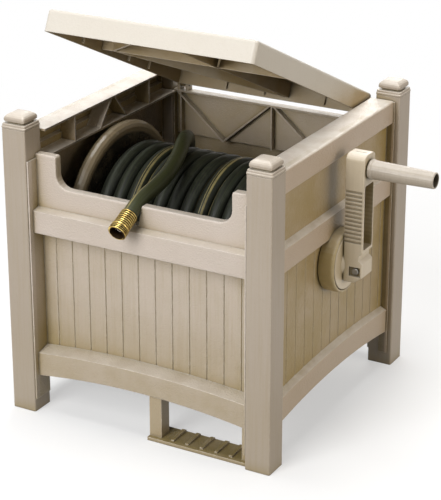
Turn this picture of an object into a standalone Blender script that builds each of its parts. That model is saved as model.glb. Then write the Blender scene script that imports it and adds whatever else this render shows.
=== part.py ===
"""Boxed garden hose reel: four corner posts, beaded panels, a rear-hinged lid and a cranked drum.

Lengths are metres, +Z is up, +X is the crank side and -Y is the front.
Everything is drawn about the middle of the box and then carried by one empty, so that the
whole object's bounding box is centred on the world origin and stands on z = 0.
"""
import math

import bmesh
import bpy
from mathutils import Matrix, Vector

# box over the posts
BOX_WIDTH = 0.420
BOX_DEPTH = 0.430
HALF_W = BOX_WIDTH / 2
HALF_D = BOX_DEPTH / 2
POST_SIZE = 0.0382
POST_HEIGHT = 0.4253
POST_WALL = 0.003
POST_EDGE_RADIUS = 0.0022
FIT_GAP = 0.0003
END_HALF = HALF_W - POST_SIZE - FIT_GAP
SIDE_HALF = HALF_D - POST_SIZE - FIT_GAP
STILE_PROUD = 0.0005

# post caps
CAP_OVERHANG = 0.0006
CAP_SLAB_HEIGHT = 0.0070
CAP_TIER_HEIGHT = 0.0036
CAP_TIER_INSET = 0.0009
CAP_SLAB_EDGE = 0.0014
CAP_NECK_INSET = 0.0058
CAP_NECK_HEIGHT = 0.0026
CAP_PILLOW_INSET = 0.0019
CAP_PILLOW_HEIGHT = 0.0050
CAP_DOME_HEIGHT = 0.0064
CAP_SPIGOT_DEPTH = 0.012
CAP_CORNER_STEPS = 2

# panels: how far each face lies behind the posts' outer faces
PANEL_WALL = 0.003
END_RAIL_INSET = 0.010
END_BOARD_INSET = 0.023
END_BEAD_INSET = 0.033
SIDE_RAIL_INSET = 0.009
SIDE_BEAD_INSET = 0.018
STILE_WALL = 0.002
STILE_LOW_Z = 0.020
END_STILE_INSET = 0.0018
END_STILE_TOP_DROP = 0.0433
END_STILE_TOP_Z = POST_HEIGHT - END_STILE_TOP_DROP
SIDE_STILE_INSET = 0.0065

# bead board
BEAD_PITCH = 0.027
BEAD_GROOVE_WIDTH = 0.0024
BEAD_GROOVE_DEPTH = 0.0013
BEAD_LOW_Z = 0.088

# middle rails and upper boards
MID_RAIL_LOW_DROP = 0.1498
MID_RAIL_LOW_Z = POST_HEIGHT - MID_RAIL_LOW_DROP
MID_RAIL_HIGH_DROP = 0.1173
MID_RAIL_HIGH_Z = POST_HEIGHT - MID_RAIL_HIGH_DROP
END_LEDGE_RISE = 0.0028
SIDE_LEDGE_RISE = 0.005
BOARD_DEPTH = 0.014
BOARD_EDGE = 0.002
SCOOP_DROP = 0.0833
SCOOP_Z = POST_HEIGHT - SCOOP_DROP
SCOOP_RADIUS = 0.020
EAR_TOP_DROP = 0.0373
EAR_TOP_Z = POST_HEIGHT - EAR_TOP_DROP
EAR_WIDTH = 0.0333
REAR_TOP_DROP = 0.0443
REAR_TOP_Z = POST_HEIGHT - REAR_TOP_DROP

# hose notch in the front board
NOTCH_OFFSET_X = -0.0112
NOTCH_TOP_HALF = 0.0116
NOTCH_FLOOR_HALF = 0.0065
NOTCH_FLOOR_DROP = 0.1128
NOTCH_FLOOR_Z = POST_HEIGHT - NOTCH_FLOOR_DROP
NOTCH_LIP = 0.003

# arched bottom rails
ARCH_LOW_Z = 0.055
ARCH_HIGH_Z = 0.0905
ARCH_RISE_LOW = 0.0127
ARCH_RISE_HIGH = 0.009
ARCH_LEDGE_RISE = 0.005
ARCH_STATIONS = 14

# side panels' top rail, an inward channel with a shelf under it
SIDE_TOP_DROP = 0.0058
SIDE_TOP_Z = POST_HEIGHT - SIDE_TOP_DROP
SIDE_TOP_RAIL_HEIGHT = 0.0325
SIDE_TOP_RAIL_REACH = 0.045
SHELF_DROP = 0.0483
SHELF_Z = POST_HEIGHT - SHELF_DROP
RIB_WALL = 0.0024
SIDE_RIB_Y = SIDE_HALF * 0.5666
SIDE_TRUSS_HALF = SIDE_HALF * 0.204

# truss ribs on the rear panel's inner side
REAR_RIB_TOP_INSET = 0.0055
REAR_RIB_TOP_X = END_HALF - REAR_RIB_TOP_INSET
REAR_RIB_FOOT_X = END_HALF * 0.49
REAR_RIB_POST_INSET = 0.0135
REAR_RIB_POST_X = END_HALF - REAR_RIB_POST_INSET

# lid
LID_WIDTH_ROOM = 0.098
LID_WIDTH = BOX_WIDTH - LID_WIDTH_ROOM
LID_REAR_INSET = 0.038
LID_REAR_Y = HALF_D - LID_REAR_INSET
LID_FRONT_OVERHANG = 0.0
LID_HEIGHT = 0.031
LID_WALL = 0.0032
LID_CORNER_RADIUS = 0.006
LID_EDGE_RADIUS = 0.004
LID_RIM_DEPTH = 0.005
LID_RIB_WALL = 0.0026
LID_STUB_DEPTH = 0.004
LID_STUB_Y = [HALF_D * share for share in (-0.54884, 0.05581, 0.33488)]
LID_STUB_X = [LID_WIDTH / 2 * share for share in (-0.46584, -0.06211, 0.55901)]
LID_RIB_END = 0.0022
LID_RIBS = [(-LID_WIDTH / 2 + LID_RIB_END, HALF_D * -0.29302, LID_WIDTH / 2 - LID_RIB_END, HALF_D * -0.29302),
            (LID_WIDTH * 0.09317, -HALF_D + LID_RIB_END, LID_WIDTH * 0.09317, LID_REAR_Y - LID_RIB_END),
            (LID_WIDTH * -0.43478, HALF_D * -0.2907, LID_WIDTH * 0.07453, LID_REAR_Y - LID_RIB_END),
            (LID_WIDTH * -0.43168, HALF_D * -0.29535, LID_WIDTH * -0.03727, -HALF_D + LID_RIB_END),
            (LID_WIDTH * 0.09627, HALF_D * -0.29767, LID_WIDTH * 0.34783, -HALF_D + LID_RIB_END)]
LID_OPEN_DEG = 25.4

# lid hinges
HINGE_INSET = 0.03
HINGE_Y = HALF_D - HINGE_INSET
HINGE_DROP = 0.0333
HINGE_Z = POST_HEIGHT - HINGE_DROP
HINGE_SIDE_INSET = 0.007
HINGE_X = LID_WIDTH / 2 - HINGE_SIDE_INSET
HINGE_LUG_WIDTH = 0.008
HINGE_EAR_WIDTH = 0.005
HINGE_SIDE_GAP = 0.0005
HINGE_EYE_RADIUS = 0.0062
HINGE_PIN_RADIUS = 0.003
HINGE_PIN_CLEARANCE = 0.0002
HINGE_PIN_HEAD = 0.0045
HINGE_HEAD_LENGTH = 0.002

# foot step
STEP_LEFT_X = 0.0133
STEP_FRONT_INSET = 0.0066
STEP_DEPTH = 0.0415
STEP_TREAD_HEIGHT = 0.005
STEP_POST_WIDTH = 0.0195
STEP_RIGHT_WIDTH = 0.009
STEP_POST_INSET = 0.0136
STEP_POST_DEPTH = 0.0204
STEP_POST_TOP_Z = 0.0845
STEP_POST_WALL = 0.0028
STEP_RIB_COUNT = 5
STEP_RIB_FIRST_X = 0.051
STEP_RIB_PITCH = 0.0231
STEP_RIB_WIDTH = 0.005
STEP_RIB_HEIGHT = 0.0046
STEP_RIB_FRONT_HEIGHT = 0.0022
STEP_RIB_LENGTH = 0.035

# drum
AXIS_DROP = 0.1873
AXIS_Z = POST_HEIGHT - AXIS_DROP
DRUM_HALF_ROOM = 0.063
DRUM_HALF = HALF_W - DRUM_HALF_ROOM
BARREL_RADIUS = 0.045
BARREL_WALL = 0.003
FLANGE_WALL = 0.003
FLANGE_RADIUS = 0.142
FLANGE_ROLL_RADIUS = 0.0095
FLANGE_ROLL_OUT = 0.008
FLANGE_STEPS = 40
FLANGE_RIB_COUNT = 8
FLANGE_RIB_HEIGHT = 0.006
JOURNAL_RADIUS = 0.018
JOURNAL_WALL = 0.003
JOURNAL_REACH = 0.0445
RUNNING_GAP = 0.0005
BEARING_LENGTH = 0.030
BEARING_WALL = 0.0045

# crank
COVER_RADIUS = 0.046
COVER_LENGTH = 0.0245
COVER_EDGE = 0.006
COVER_CUP_DEPTH = 0.009
DISC_RADIUS = 0.0412
DISC_THICKNESS = 0.0095
ARM_INNER_REACH = 0.008
ARM_INNER_X = HALF_W + ARM_INNER_REACH
ARM_THICKNESS = 0.0285
ARM_WIDTH = 0.034
ARM_FOOT_FALL = 0.025
ARM_FOOT_Z = AXIS_Z - ARM_FOOT_FALL
ARM_FOOT_CHAMFER = 0.011
CRANK_RADIUS = 0.141
ARM_TOP_OVER = 0.022
ARM_TOP_RADIUS = 0.009
ARM_CHANNEL_WIDTH = 0.0275
ARM_CHANNEL_DEPTH = 0.0215
ARM_CHANNEL_LOW_RISE = 0.025
ARM_CHANNEL_LOW_Z = AXIS_Z + ARM_CHANNEL_LOW_RISE
ARM_CHANNEL_HIGH_RISE = 0.119
ARM_CHANNEL_HIGH_Z = AXIS_Z + ARM_CHANNEL_HIGH_RISE
ARM_NOTCH_RISE = 0.013
ARM_NOTCH_Z = AXIS_Z + ARM_NOTCH_RISE
ARM_NOTCH_HALF = 0.009
ARM_NOTCH_DEPTH = 0.0055
ARM_GROOVE_COUNT = 13
ARM_GROOVE_LOW_RISE = 0.0365
ARM_GROOVE_LOW_Z = AXIS_Z + ARM_GROOVE_LOW_RISE
ARM_GROOVE_PITCH = 0.0061
ARM_GROOVE_HEIGHT = 0.0034
ARM_GROOVE_DEPTH = 0.0015
ARM_SLIT_WIDTH = 0.0012
ARM_SLIT_LENGTH = 0.017
ARM_SLIT_DEPTH = 0.003
SHAFT_RADIUS = 0.009
SHAFT_INNER_REACH = 0.001
SHAFT_INNER_X = DRUM_HALF + SHAFT_INNER_REACH
SHAFT_OUTER_REACH = 0.028
SHAFT_OUTER_X = HALF_W + SHAFT_OUTER_REACH
BOLT_REACH = 0.0255
BOLT_X = HALF_W + BOLT_REACH
BOLT_FALL = 0.0075
BOLT_Z = AXIS_Z - BOLT_FALL
BOLT_RADIUS = 0.0026
BOLT_POCKET_DEPTH = 0.0045
BOLT_POCKET_HEIGHT = 0.014
BOLT_POCKET_LENGTH = 0.017
BOLT_HEAD_RADIUS = 0.0052
BOLT_HEAD_LENGTH = 0.0032

# handle
HANDLE_LENGTH = 0.0965
HANDLE_ROOT_RADIUS = 0.0142
HANDLE_END_RADIUS = 0.0116
HANDLE_WALL = 0.002
HANDLE_WEB = 0.011
HANDLE_PIN_RADIUS = 0.005
HANDLE_PIN_CLEARANCE = 0.0004
HANDLE_PIN_HEAD_RADIUS = 0.0085
HANDLE_PIN_HEAD_LENGTH = 0.003

# water inlet on the hidden side
INLET_BORE = 0.006
INLET_RADIUS = 0.009
INLET_FLARE_RADIUS = 0.0122
INLET_FLARE_LENGTH = 0.0024
INLET_INNER_INSET = 0.017
INLET_INNER_X = DRUM_HALF - INLET_INNER_INSET
INLET_OUTER_REACH = 0.005
INLET_OUTER_X = HALF_W + INLET_OUTER_REACH
INLET_PLATE_RADIUS = 0.031
INLET_PLATE_THICKNESS = 0.003
INLET_SCREW_CIRCLE = 0.0264
INLET_SCREW_COUNT = 3
INLET_SCREW_RADIUS = 0.0017
INLET_SCREW_HEAD_RADIUS = 0.0036
INLET_SCREW_HEAD_LENGTH = 0.0022
ELBOW_BORE = 0.0095
ELBOW_INNER_INSET = 0.055
ELBOW_INNER_X = DRUM_HALF - ELBOW_INNER_INSET
ELBOW_BRANCH_INSET = 0.041
ELBOW_BRANCH_X = DRUM_HALF - ELBOW_BRANCH_INSET
ELBOW_BRANCH_RADIUS = 0.010
ELBOW_BRANCH_BORE = 0.0065
ELBOW_WALL = 0.003
RING_SECTION = 0.0008
RING_RADIUS = 0.0085
RING_GROOVE_RADIUS = 0.0074
RING_GROOVE_WIDTH = 0.0024
RING_SPACING = 0.009
NUT_RADIUS = 0.0172
NUT_BORE = 0.0134
NUT_LENGTH = 0.021
NUT_LIP = 0.003
NUT_LOBES = 8
WASHER_THICKNESS = 0.0024

# hose
HOSE_RADIUS = 0.01075
HOSE_LANE = 0.0221
WIND_RADIUS = 0.106
WIND_POINTS = 24
CORE_RADIUS = 0.0935
CORE_END_GAP = 0.0006
TAIL_RADIUS = 0.1290
CLIMB_DEG = 75.0
WIND_GAP = 0.0006
WIND_ROOM = 2 * (DRUM_HALF - CORE_END_GAP - HOSE_RADIUS) - WIND_GAP - HOSE_LANE * CLIMB_DEG / 360
WIND_TURNS = float(int(WIND_ROOM / HOSE_LANE))
TAIL_OFF_DEG = 83.0
TAIL_STEP_DEG = 12.0
TAIL_SETTLE = 0.88
TAIL_SHARES = (-0.2093, -0.34884, -0.48837, -0.62791, -0.73488, -0.8186, -0.88372, -0.95209)
TAIL_RISE = (0.1238, 0.1201, 0.1164, 0.1127, 0.1095, 0.1060, 0.1013, 0.0946)
TAIL_ROUTE = [(HALF_D * share, AXIS_Z + rise) for share, rise in zip(TAIL_SHARES, TAIL_RISE)]
FERRULE_RADIUS = 0.0114
FERRULE_LENGTH = 0.0245
FERRULE_RIBS = 8
FERRULE_RIB_HEIGHT = 0.0009
COUPLING_RADIUS = 0.01335
COUPLING_BORE = 0.0095
COUPLING_LENGTH = 0.0125
COUPLING_CREST = 0.0009
COUPLING_CRESTS = 3

# worked out from the above
ARM_OUTER_X = ARM_INNER_X + ARM_THICKNESS
HANDLE_Z = AXIS_Z + CRANK_RADIUS
HANDLE_START_X = ARM_OUTER_X + 0.0005
REACH_RIGHT = HANDLE_START_X + HANDLE_LENGTH
NUT_INNER_X = INLET_OUTER_X - INLET_FLARE_LENGTH - FIT_GAP - NUT_LIP
REACH_LEFT = NUT_INNER_X + NUT_LENGTH
CENTRE_X = (REACH_RIGHT - REACH_LEFT) / 2
AXIS_POINT = Vector((0, 0, AXIS_Z))
HINGE_POINT = Vector((0, HINGE_Y, HINGE_Z))
HANDLE_POINT = Vector((HANDLE_START_X, 0, HANDLE_Z))
LID_LOW_Z = EAR_TOP_Z + 2 * FIT_GAP
LID_FRONT_Y = -HALF_D - LID_FRONT_OVERHANG

for old in list(bpy.data.objects):
    bpy.data.objects.remove(old, do_unlink=True)

parts = bpy.data.collections.new("hose_reel")
cutters = bpy.data.collections.new("hose_reel_cutters")
bpy.context.scene.collection.children.link(parts)
bpy.context.scene.collection.children.link(cutters)


def make_material(name, colour, roughness, metallic=0.0):
    """Principled material with a plain colour."""
    mat = bpy.data.materials.new(name)
    mat.use_nodes = True
    shader = mat.node_tree.nodes["Principled BSDF"]
    shader.inputs["Base Color"].default_value = (*colour, 1.0)
    shader.inputs["Roughness"].default_value = roughness
    shader.inputs["Metallic"].default_value = metallic
    mat.diffuse_color = (*colour, 1.0)
    return mat


TAUPE = make_material("taupe plastic", (0.52, 0.45, 0.36), 0.55)
TAUPE_LID = make_material("pale taupe plastic", (0.60, 0.54, 0.44), 0.5)
DRUM = make_material("drum plastic", (0.40, 0.33, 0.23), 0.5)
BLACK = make_material("black plastic", (0.03, 0.03, 0.03), 0.5)
SEAL = make_material("seal rubber", (0.015, 0.015, 0.015), 0.7)
HOSE = make_material("dark green hose", (0.035, 0.05, 0.03), 0.45)
BRASS = make_material("brass", (0.75, 0.52, 0.16), 0.25, 1.0)
STEEL = make_material("steel", (0.55, 0.55, 0.55), 0.35, 1.0)

# where a flat drawing's own axes lie, by the plane it is drawn in
PLANE_MATRIX = {
    "XY": Matrix(((1, 0, 0, 0), (0, 1, 0, 0), (0, 0, 1, 0), (0, 0, 0, 1))),
    "XZ": Matrix(((1, 0, 0, 0), (0, 0, -1, 0), (0, 1, 0, 0), (0, 0, 0, 1))),
    "YZ": Matrix(((0, 0, 1, 0), (1, 0, 0, 0), (0, 1, 0, 0), (0, 0, 0, 1))),
}
AXIS_MATRIX = {
    "X": PLANE_MATRIX["YZ"],
    "Y": Matrix(((1, 0, 0, 0), (0, 0, 1, 0), (0, -1, 0, 0), (0, 0, 0, 1))),
    "Z": PLANE_MATRIX["XY"],
}
PLANE_NORMAL = {"XY": Vector((0, 0, 1)), "XZ": Vector((0, 1, 0)), "YZ": Vector((1, 0, 0))}


def clean(mesh, weld=1e-6):
    """Weld doubles, drop slivers and turn a closed mesh's faces outwards."""
    bm = bmesh.new()
    bm.from_mesh(mesh)
    bmesh.ops.remove_doubles(bm, verts=bm.verts, dist=weld)
    bmesh.ops.dissolve_degenerate(bm, edges=bm.edges, dist=weld)
    bmesh.ops.recalc_face_normals(bm, faces=bm.faces)
    if bm.calc_volume(signed=True) < 0:
        bmesh.ops.reverse_faces(bm, faces=bm.faces)
    bm.to_mesh(mesh)
    bm.free()


def bake(obj):
    """Replace an object's mesh, or a curve, by what its modifiers make of it."""
    graph = bpy.context.evaluated_depsgraph_get()
    mesh = bpy.data.meshes.new_from_object(obj.evaluated_get(graph))
    if obj.type == "CURVE":
        fresh = bpy.data.objects.new(obj.name + "_solid", mesh)
        mesh.transform(obj.matrix_world)
        cutters.objects.link(fresh)
        bpy.data.objects.remove(obj, do_unlink=True)
        clean(mesh, 1e-5)
        return fresh
    obj.modifiers.clear()
    obj.data = mesh
    clean(mesh)
    return obj


def mesh_object(name, mesh):
    """A helper solid, kept with the cutters until it is finished."""
    obj = bpy.data.objects.new(name, mesh)
    cutters.objects.link(obj)
    return obj


def flat_solid(name, loops, low, high, plane):
    """Extrude closed flat outlines (the first one's holes follow it) from low to high."""
    curve = bpy.data.curves.new(name, "CURVE")
    curve.dimensions = "2D"
    curve.fill_mode = "BOTH"
    curve.extrude = (high - low) / 2
    for loop in loops:
        spline = curve.splines.new("POLY")
        spline.points.add(len(loop) - 1)
        for point, (u, v) in zip(spline.points, loop):
            point.co = (u, v, 0, 1)
        spline.use_cyclic_u = True
    obj = bpy.data.objects.new(name, curve)
    cutters.objects.link(obj)
    shift = PLANE_NORMAL[plane] * (low + high) / 2
    obj.matrix_world = Matrix.Translation(shift) @ PLANE_MATRIX[plane]
    bpy.context.view_layer.update()
    return bake(obj)


def box(name, low, high):
    """A block between two corners."""
    low, high = Vector(low), Vector(high)
    mesh = bpy.data.meshes.new(name)
    bm = bmesh.new()
    bmesh.ops.create_cube(bm, size=1.0)
    size = high - low
    bmesh.ops.transform(bm, matrix=Matrix.Diagonal((*size, 1)), verts=bm.verts)
    bmesh.ops.translate(bm, vec=(low + high) / 2, verts=bm.verts)
    bm.to_mesh(mesh)
    bm.free()
    return mesh_object(name, mesh)


def turned(name, profile, steps, closed=True, axis="X", centre=AXIS_POINT):
    """Turn a profile of (radius, distance along the axis) pairs about the axis."""
    mesh = bpy.data.meshes.new(name)
    count = len(profile)
    edges = [(i, i + 1) for i in range(count - 1)]
    if closed:
        edges.append((count - 1, 0))
    mesh.from_pydata([(r, 0, along) for r, along in profile], edges, [])
    obj = mesh_object(name, mesh)
    screw = obj.modifiers.new("turn", "SCREW")
    screw.axis = "Z"
    screw.angle = 2 * math.pi
    screw.steps = steps
    screw.render_steps = steps
    screw.use_merge_vertices = True
    screw.merge_threshold = 0.00002
    bake(obj)
    obj.data.transform(Matrix.Translation(centre) @ AXIS_MATRIX[axis])
    clean(obj.data)
    return obj


def tube(name, points, radius, resolution):
    """A round tube with capped ends through a list of points."""
    curve = bpy.data.curves.new(name, "CURVE")
    curve.dimensions = "3D"
    curve.bevel_depth = radius
    curve.bevel_resolution = resolution
    curve.use_fill_caps = True
    curve.twist_mode = "MINIMUM"
    spline = curve.splines.new("POLY")
    spline.points.add(len(points) - 1)
    for point, place in zip(spline.points, points):
        point.co = (*place, 1)
    obj = bpy.data.objects.new(name, curve)
    cutters.objects.link(obj)
    bpy.context.view_layer.update()
    return bake(obj)


def combine(base, others, operation="UNION"):
    """Join solids to base, or cut them from it."""
    for other in others:
        other.display_type = "WIRE"
        other.hide_render = True
        step = base.modifiers.new(operation.lower(), "BOOLEAN")
        step.operation = operation
        step.solver = "EXACT"
        step.object = other
        bake(base)
        bpy.data.objects.remove(other, do_unlink=True)
    return base


def cut(base, others):
    """Cut solids from base."""
    return combine(base, others, "DIFFERENCE")


def merge_loose(name, solids):
    """Put solids that don't touch into one object, to cut with them in one step."""
    bm = bmesh.new()
    for solid in solids:
        bm.from_mesh(solid.data)
        bpy.data.objects.remove(solid, do_unlink=True)
    mesh = bpy.data.meshes.new(name)
    bm.to_mesh(mesh)
    bm.free()
    return mesh_object(name, mesh)


def soften(obj, width, segments=2, angle=50):
    """Round every edge sharper than the angle."""
    bevel = obj.modifiers.new("soften", "BEVEL")
    bevel.width = width
    bevel.segments = segments
    bevel.limit_method = "ANGLE"
    bevel.angle_limit = math.radians(angle)
    bevel.use_clamp_overlap = True
    return bake(obj)


def round_edges(obj, picks, radius, segments):
    """Round the edges that picks(edge) chooses."""
    bm = bmesh.new()
    bm.from_mesh(obj.data)
    chosen = [edge for edge in bm.edges if picks(edge)]
    bmesh.ops.bevel(bm, geom=chosen, offset=radius, segments=segments, profile=0.5, affect="EDGES")
    bm.to_mesh(obj.data)
    bm.free()
    clean(obj.data)
    return obj


def mirrored(obj, name, axis=0):
    """A mirror copy across the middle of the box."""
    scale = Vector((1, 1, 1))
    scale[axis] = -1
    mesh = obj.data.copy()
    mesh.transform(Matrix.Diagonal((*scale, 1)))
    clean(mesh)
    return mesh_object(name, mesh)


def arc(u, v, radius, start, end, count):
    """Points on an arc, angles in degrees."""
    turn = [math.radians(start + (end - start) * i / count) for i in range(count + 1)]
    return [(u + radius * math.cos(t), v + radius * math.sin(t)) for t in turn]


def rounded_rectangle(u, v, width, height, radius, count=3):
    """A rectangle about (u, v) with round corners."""
    a, b = width / 2 - radius, height / 2 - radius
    points = []
    for su, sv, start in ((1, 1, 0), (-1, 1, 90), (-1, -1, 180), (1, -1, 270)):
        points += arc(u + su * a, v + sv * b, radius, start, start + 90, count)
    return points


def circle(u, v, radius, count):
    """Points round a circle."""
    return arc(u, v, radius, 0, 360 * (count - 1) / count, count - 1)


def wall_section(path, thickness):
    """The closed outline of a wall that lies to the right of an open path."""
    offset = []
    for i, point in enumerate(path):
        here = Vector(point)
        before = (here - Vector(path[i - 1])).normalized() if i > 0 else None
        after = (Vector(path[i + 1]) - here).normalized() if i < len(path) - 1 else None
        directions = [d for d in (before, after) if d is not None]
        normals = [Vector((d.y, -d.x)) for d in directions]
        mitre = sum(normals, Vector((0, 0)))
        mitre = mitre / mitre.dot(normals[0])
        offset.append(tuple(here + mitre * thickness))
    return list(path) + offset[::-1]


def bar(u0, v0, u1, v1, thickness):
    """The outline of a straight rib between two points of a drawing."""
    start, end = Vector((u0, v0)), Vector((u1, v1))
    side = (end - start).normalized()
    side = Vector((-side.y, side.x)) * thickness / 2
    return [tuple(start + side), tuple(end + side), tuple(end - side), tuple(start - side)]


def finish(obj, name, mat, parent, smooth_deg=35):
    """Name a finished solid, give it its material and hang it on the empty that carries it."""
    obj.name = name
    obj.data.name = name
    obj.data.materials.clear()
    obj.data.materials.append(mat)
    if obj.name in cutters.objects:
        cutters.objects.unlink(obj)
    parts.objects.link(obj)
    obj.data.transform(Matrix.Translation(-parent["home"].to_3d()))
    obj.parent = parent["empty"]
    obj.data.shade_smooth()
    obj.data.set_sharp_from_angle(angle=math.radians(smooth_deg))
    return obj


def carrier(name, home, parent=None, turn_x=0.0):
    """An empty at a place of the box, for what it carries to stand or turn on."""
    empty = bpy.data.objects.new(name, None)
    empty.empty_display_size = 0.02
    parts.objects.link(empty)
    start = parent["home"] if parent else Vector((CENTRE_X, 0, 0))
    empty.location = home - start
    empty.rotation_euler = (turn_x, 0, 0)
    if parent:
        empty.parent = parent["empty"]
    return {"empty": empty, "home": home}


frame_root = carrier("box_middle", Vector((0, 0, 0)))
lid_hinge = carrier("lid_hinge", HINGE_POINT, frame_root, math.radians(-LID_OPEN_DEG))
drum_axle = carrier("drum_axle", AXIS_POINT, frame_root)
handle_axle = carrier("handle_axle", HANDLE_POINT, drum_axle)
nut_axle = carrier("nut_axle", Vector((-NUT_INNER_X, 0, AXIS_Z)), frame_root)


def make_post():
    """A square tube that stands on the floor."""
    outer = rounded_rectangle(0, 0, POST_SIZE, POST_SIZE, POST_EDGE_RADIUS, 2)
    bore = POST_SIZE - 2 * POST_WALL
    inner = rounded_rectangle(0, 0, bore, bore, POST_EDGE_RADIUS / 2, 1)
    return flat_solid("post", [outer, inner], 0, POST_HEIGHT, "XY")


def lofted(name, rings):
    """A closed body through level rings, each (width, corner radius, height)."""
    bm = bmesh.new()
    loops = []
    for width, radius, z in rings:
        outline = rounded_rectangle(0, 0, width, width, radius, CAP_CORNER_STEPS)
        loops.append([bm.verts.new((u, v, z)) for u, v in outline])
    count = len(loops[0])
    for low, high in zip(loops, loops[1:]):
        for i in range(count):
            bm.faces.new((low[i], low[(i + 1) % count], high[(i + 1) % count], high[i]))
    bm.faces.new(loops[0][::-1])
    bm.faces.new(loops[-1])
    mesh = bpy.data.meshes.new(name)
    bm.to_mesh(mesh)
    bm.free()
    clean(mesh)
    return mesh_object(name, mesh)


def make_cap():
    """A slab, a neck and a domed pillow over a spigot that fills the post's bore."""
    slab_low = POST_HEIGHT + FIT_GAP
    slab_high = slab_low + CAP_SLAB_HEIGHT
    neck_high = slab_high + CAP_NECK_HEIGHT
    pillow_high = neck_high + CAP_PILLOW_HEIGHT
    spigot = POST_SIZE - 2 * POST_WALL - 2 * FIT_GAP
    over = POST_SIZE + 2 * CAP_OVERHANG
    neck = POST_SIZE - 2 * CAP_NECK_INSET
    pillow = POST_SIZE - 2 * CAP_PILLOW_INSET
    edge = CAP_SLAB_EDGE
    tier = over - 2 * CAP_TIER_INSET
    tier_z = slab_low + CAP_TIER_HEIGHT
    rings = [(spigot, 0.001, slab_low - CAP_SPIGOT_DEPTH), (spigot, 0.001, slab_low),
             (over - edge, 0.0024, slab_low), (over, 0.003, slab_low + edge / 2),
             (over, 0.003, tier_z - edge * 0.6), (over - edge, 0.0027, tier_z),
             (tier, 0.0026, tier_z + 0.0004), (tier, 0.0026, slab_high - edge),
             (tier - edge * 0.6, 0.0024, slab_high - edge * 0.3),
             (tier - edge * 2, 0.002, slab_high), (neck, 0.002, slab_high), (neck, 0.002, neck_high),
             (pillow - 0.0016, 0.003, neck_high), (pillow, 0.003, neck_high + 0.001),
             (pillow, 0.003, pillow_high - 0.001), (pillow - 0.0008, 0.0028, pillow_high)]
    for share in (0.93, 0.82, 0.62, 0.30):
        width = pillow * share
        rings.append((width, 0.0028 * share, pillow_high + CAP_DOME_HEIGHT * (1 - share ** 4)))
    return lofted("cap", rings)


def make_posts_and_caps():
    """The four corners."""
    places = {"front_left": (-1, -1), "front_right": (1, -1), "rear_left": (-1, 1), "rear_right": (1, 1)}
    post, cap = make_post(), make_cap()
    for name, (sx, sy) in places.items():
        shift = Matrix.Translation((sx * (HALF_W - POST_SIZE / 2), sy * (HALF_D - POST_SIZE / 2), 0))
        for kind, source in (("post", post), ("cap", cap)):
            mesh = source.data.copy()
            mesh.transform(shift)
            finish(mesh_object(kind, mesh), f"{kind}_{name}", TAUPE, frame_root)
    for source in (post, cap):
        bpy.data.objects.remove(source, do_unlink=True)


def bead_grooves(half, face, outward, plane_axis):
    """V grooves for a bead board whose face is at `face`, as one loose set of cutters.

    plane_axis is "X" where the board runs along X and "Y" where it runs along Y."""
    count = int(2 * half / BEAD_PITCH)
    solids = []
    for i in range(count):
        middle = (i - (count - 1) / 2) * BEAD_PITCH
        mouth = BEAD_GROOVE_WIDTH / 2 * 1.5
        skin = face + outward * BEAD_GROOVE_DEPTH / 2
        root = face - outward * BEAD_GROOVE_DEPTH
        if plane_axis == "X":
            loop = [(middle - mouth, skin), (middle + mouth, skin), (middle, root)]
        else:
            loop = [(skin, middle - mouth), (skin, middle + mouth), (root, middle)]
        solids.append(flat_solid("groove", [loop], BEAD_LOW_Z - 0.005, MID_RAIL_LOW_Z + 0.008, "XY"))
    return merge_loose("grooves", solids)


def arch_rise(share, height):
    """How far the arched rail is lifted, at a share of its half length and a height."""
    blend = min(max((height - ARCH_LOW_Z) / (ARCH_HIGH_Z - ARCH_LOW_Z), 0), 1)
    rise = ARCH_RISE_LOW + (ARCH_RISE_HIGH - ARCH_RISE_LOW) * blend
    return rise * (1 - share * share)


def arched_rail(half, face, inner, outward, plane):
    """A rail with a sloped ledge on top, cut into short lengths and lifted to a shallow arch."""
    side = -outward
    path = [(face, ARCH_LOW_Z), (face, ARCH_HIGH_Z), (inner, ARCH_HIGH_Z + ARCH_LEDGE_RISE)]
    inside = (face + side * PANEL_WALL, ARCH_LOW_Z)
    under = (face + side * PANEL_WALL, ARCH_HIGH_Z - PANEL_WALL)
    under_end = (inner, ARCH_HIGH_Z + ARCH_LEDGE_RISE - PANEL_WALL)
    rail = flat_solid("arch", [path + [under_end, under, inside]], -half, half, plane)
    along = 0 if plane == "YZ" else 1
    bm = bmesh.new()
    bm.from_mesh(rail.data)
    normal = Vector((0, 0, 0))
    normal[along] = 1
    for i in range(1, ARCH_STATIONS):
        place = Vector((0, 0, 0))
        place[along] = -half + 2 * half * i / ARCH_STATIONS
        geom = bm.verts[:] + bm.edges[:] + bm.faces[:]
        bmesh.ops.bisect_plane(bm, geom=geom, plane_co=place, plane_no=normal, dist=1e-6)
    for vert in bm.verts:
        vert.co.z += arch_rise(vert.co[along] / half, vert.co.z)
    bm.to_mesh(rail.data)
    bm.free()
    return rail


def board_outline(inset):
    """The front board above its middle rail: two ears and the scoop between them."""
    out = END_HALF - inset
    ear = END_HALF - EAR_WIDTH + inset
    low = MID_RAIL_HIGH_Z + inset
    top = EAR_TOP_Z - inset
    scoop = SCOOP_Z - inset
    radius = SCOOP_RADIUS + inset
    corner = 0.004
    right = [(out, low), (out, top)]
    right += arc(ear + corner, top - corner, corner, 90, 180, 3)
    right += arc(ear - radius, scoop + radius, radius, 0, -90, 6)
    left = [(-u, v) for u, v in reversed(right)]
    return right + left


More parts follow.
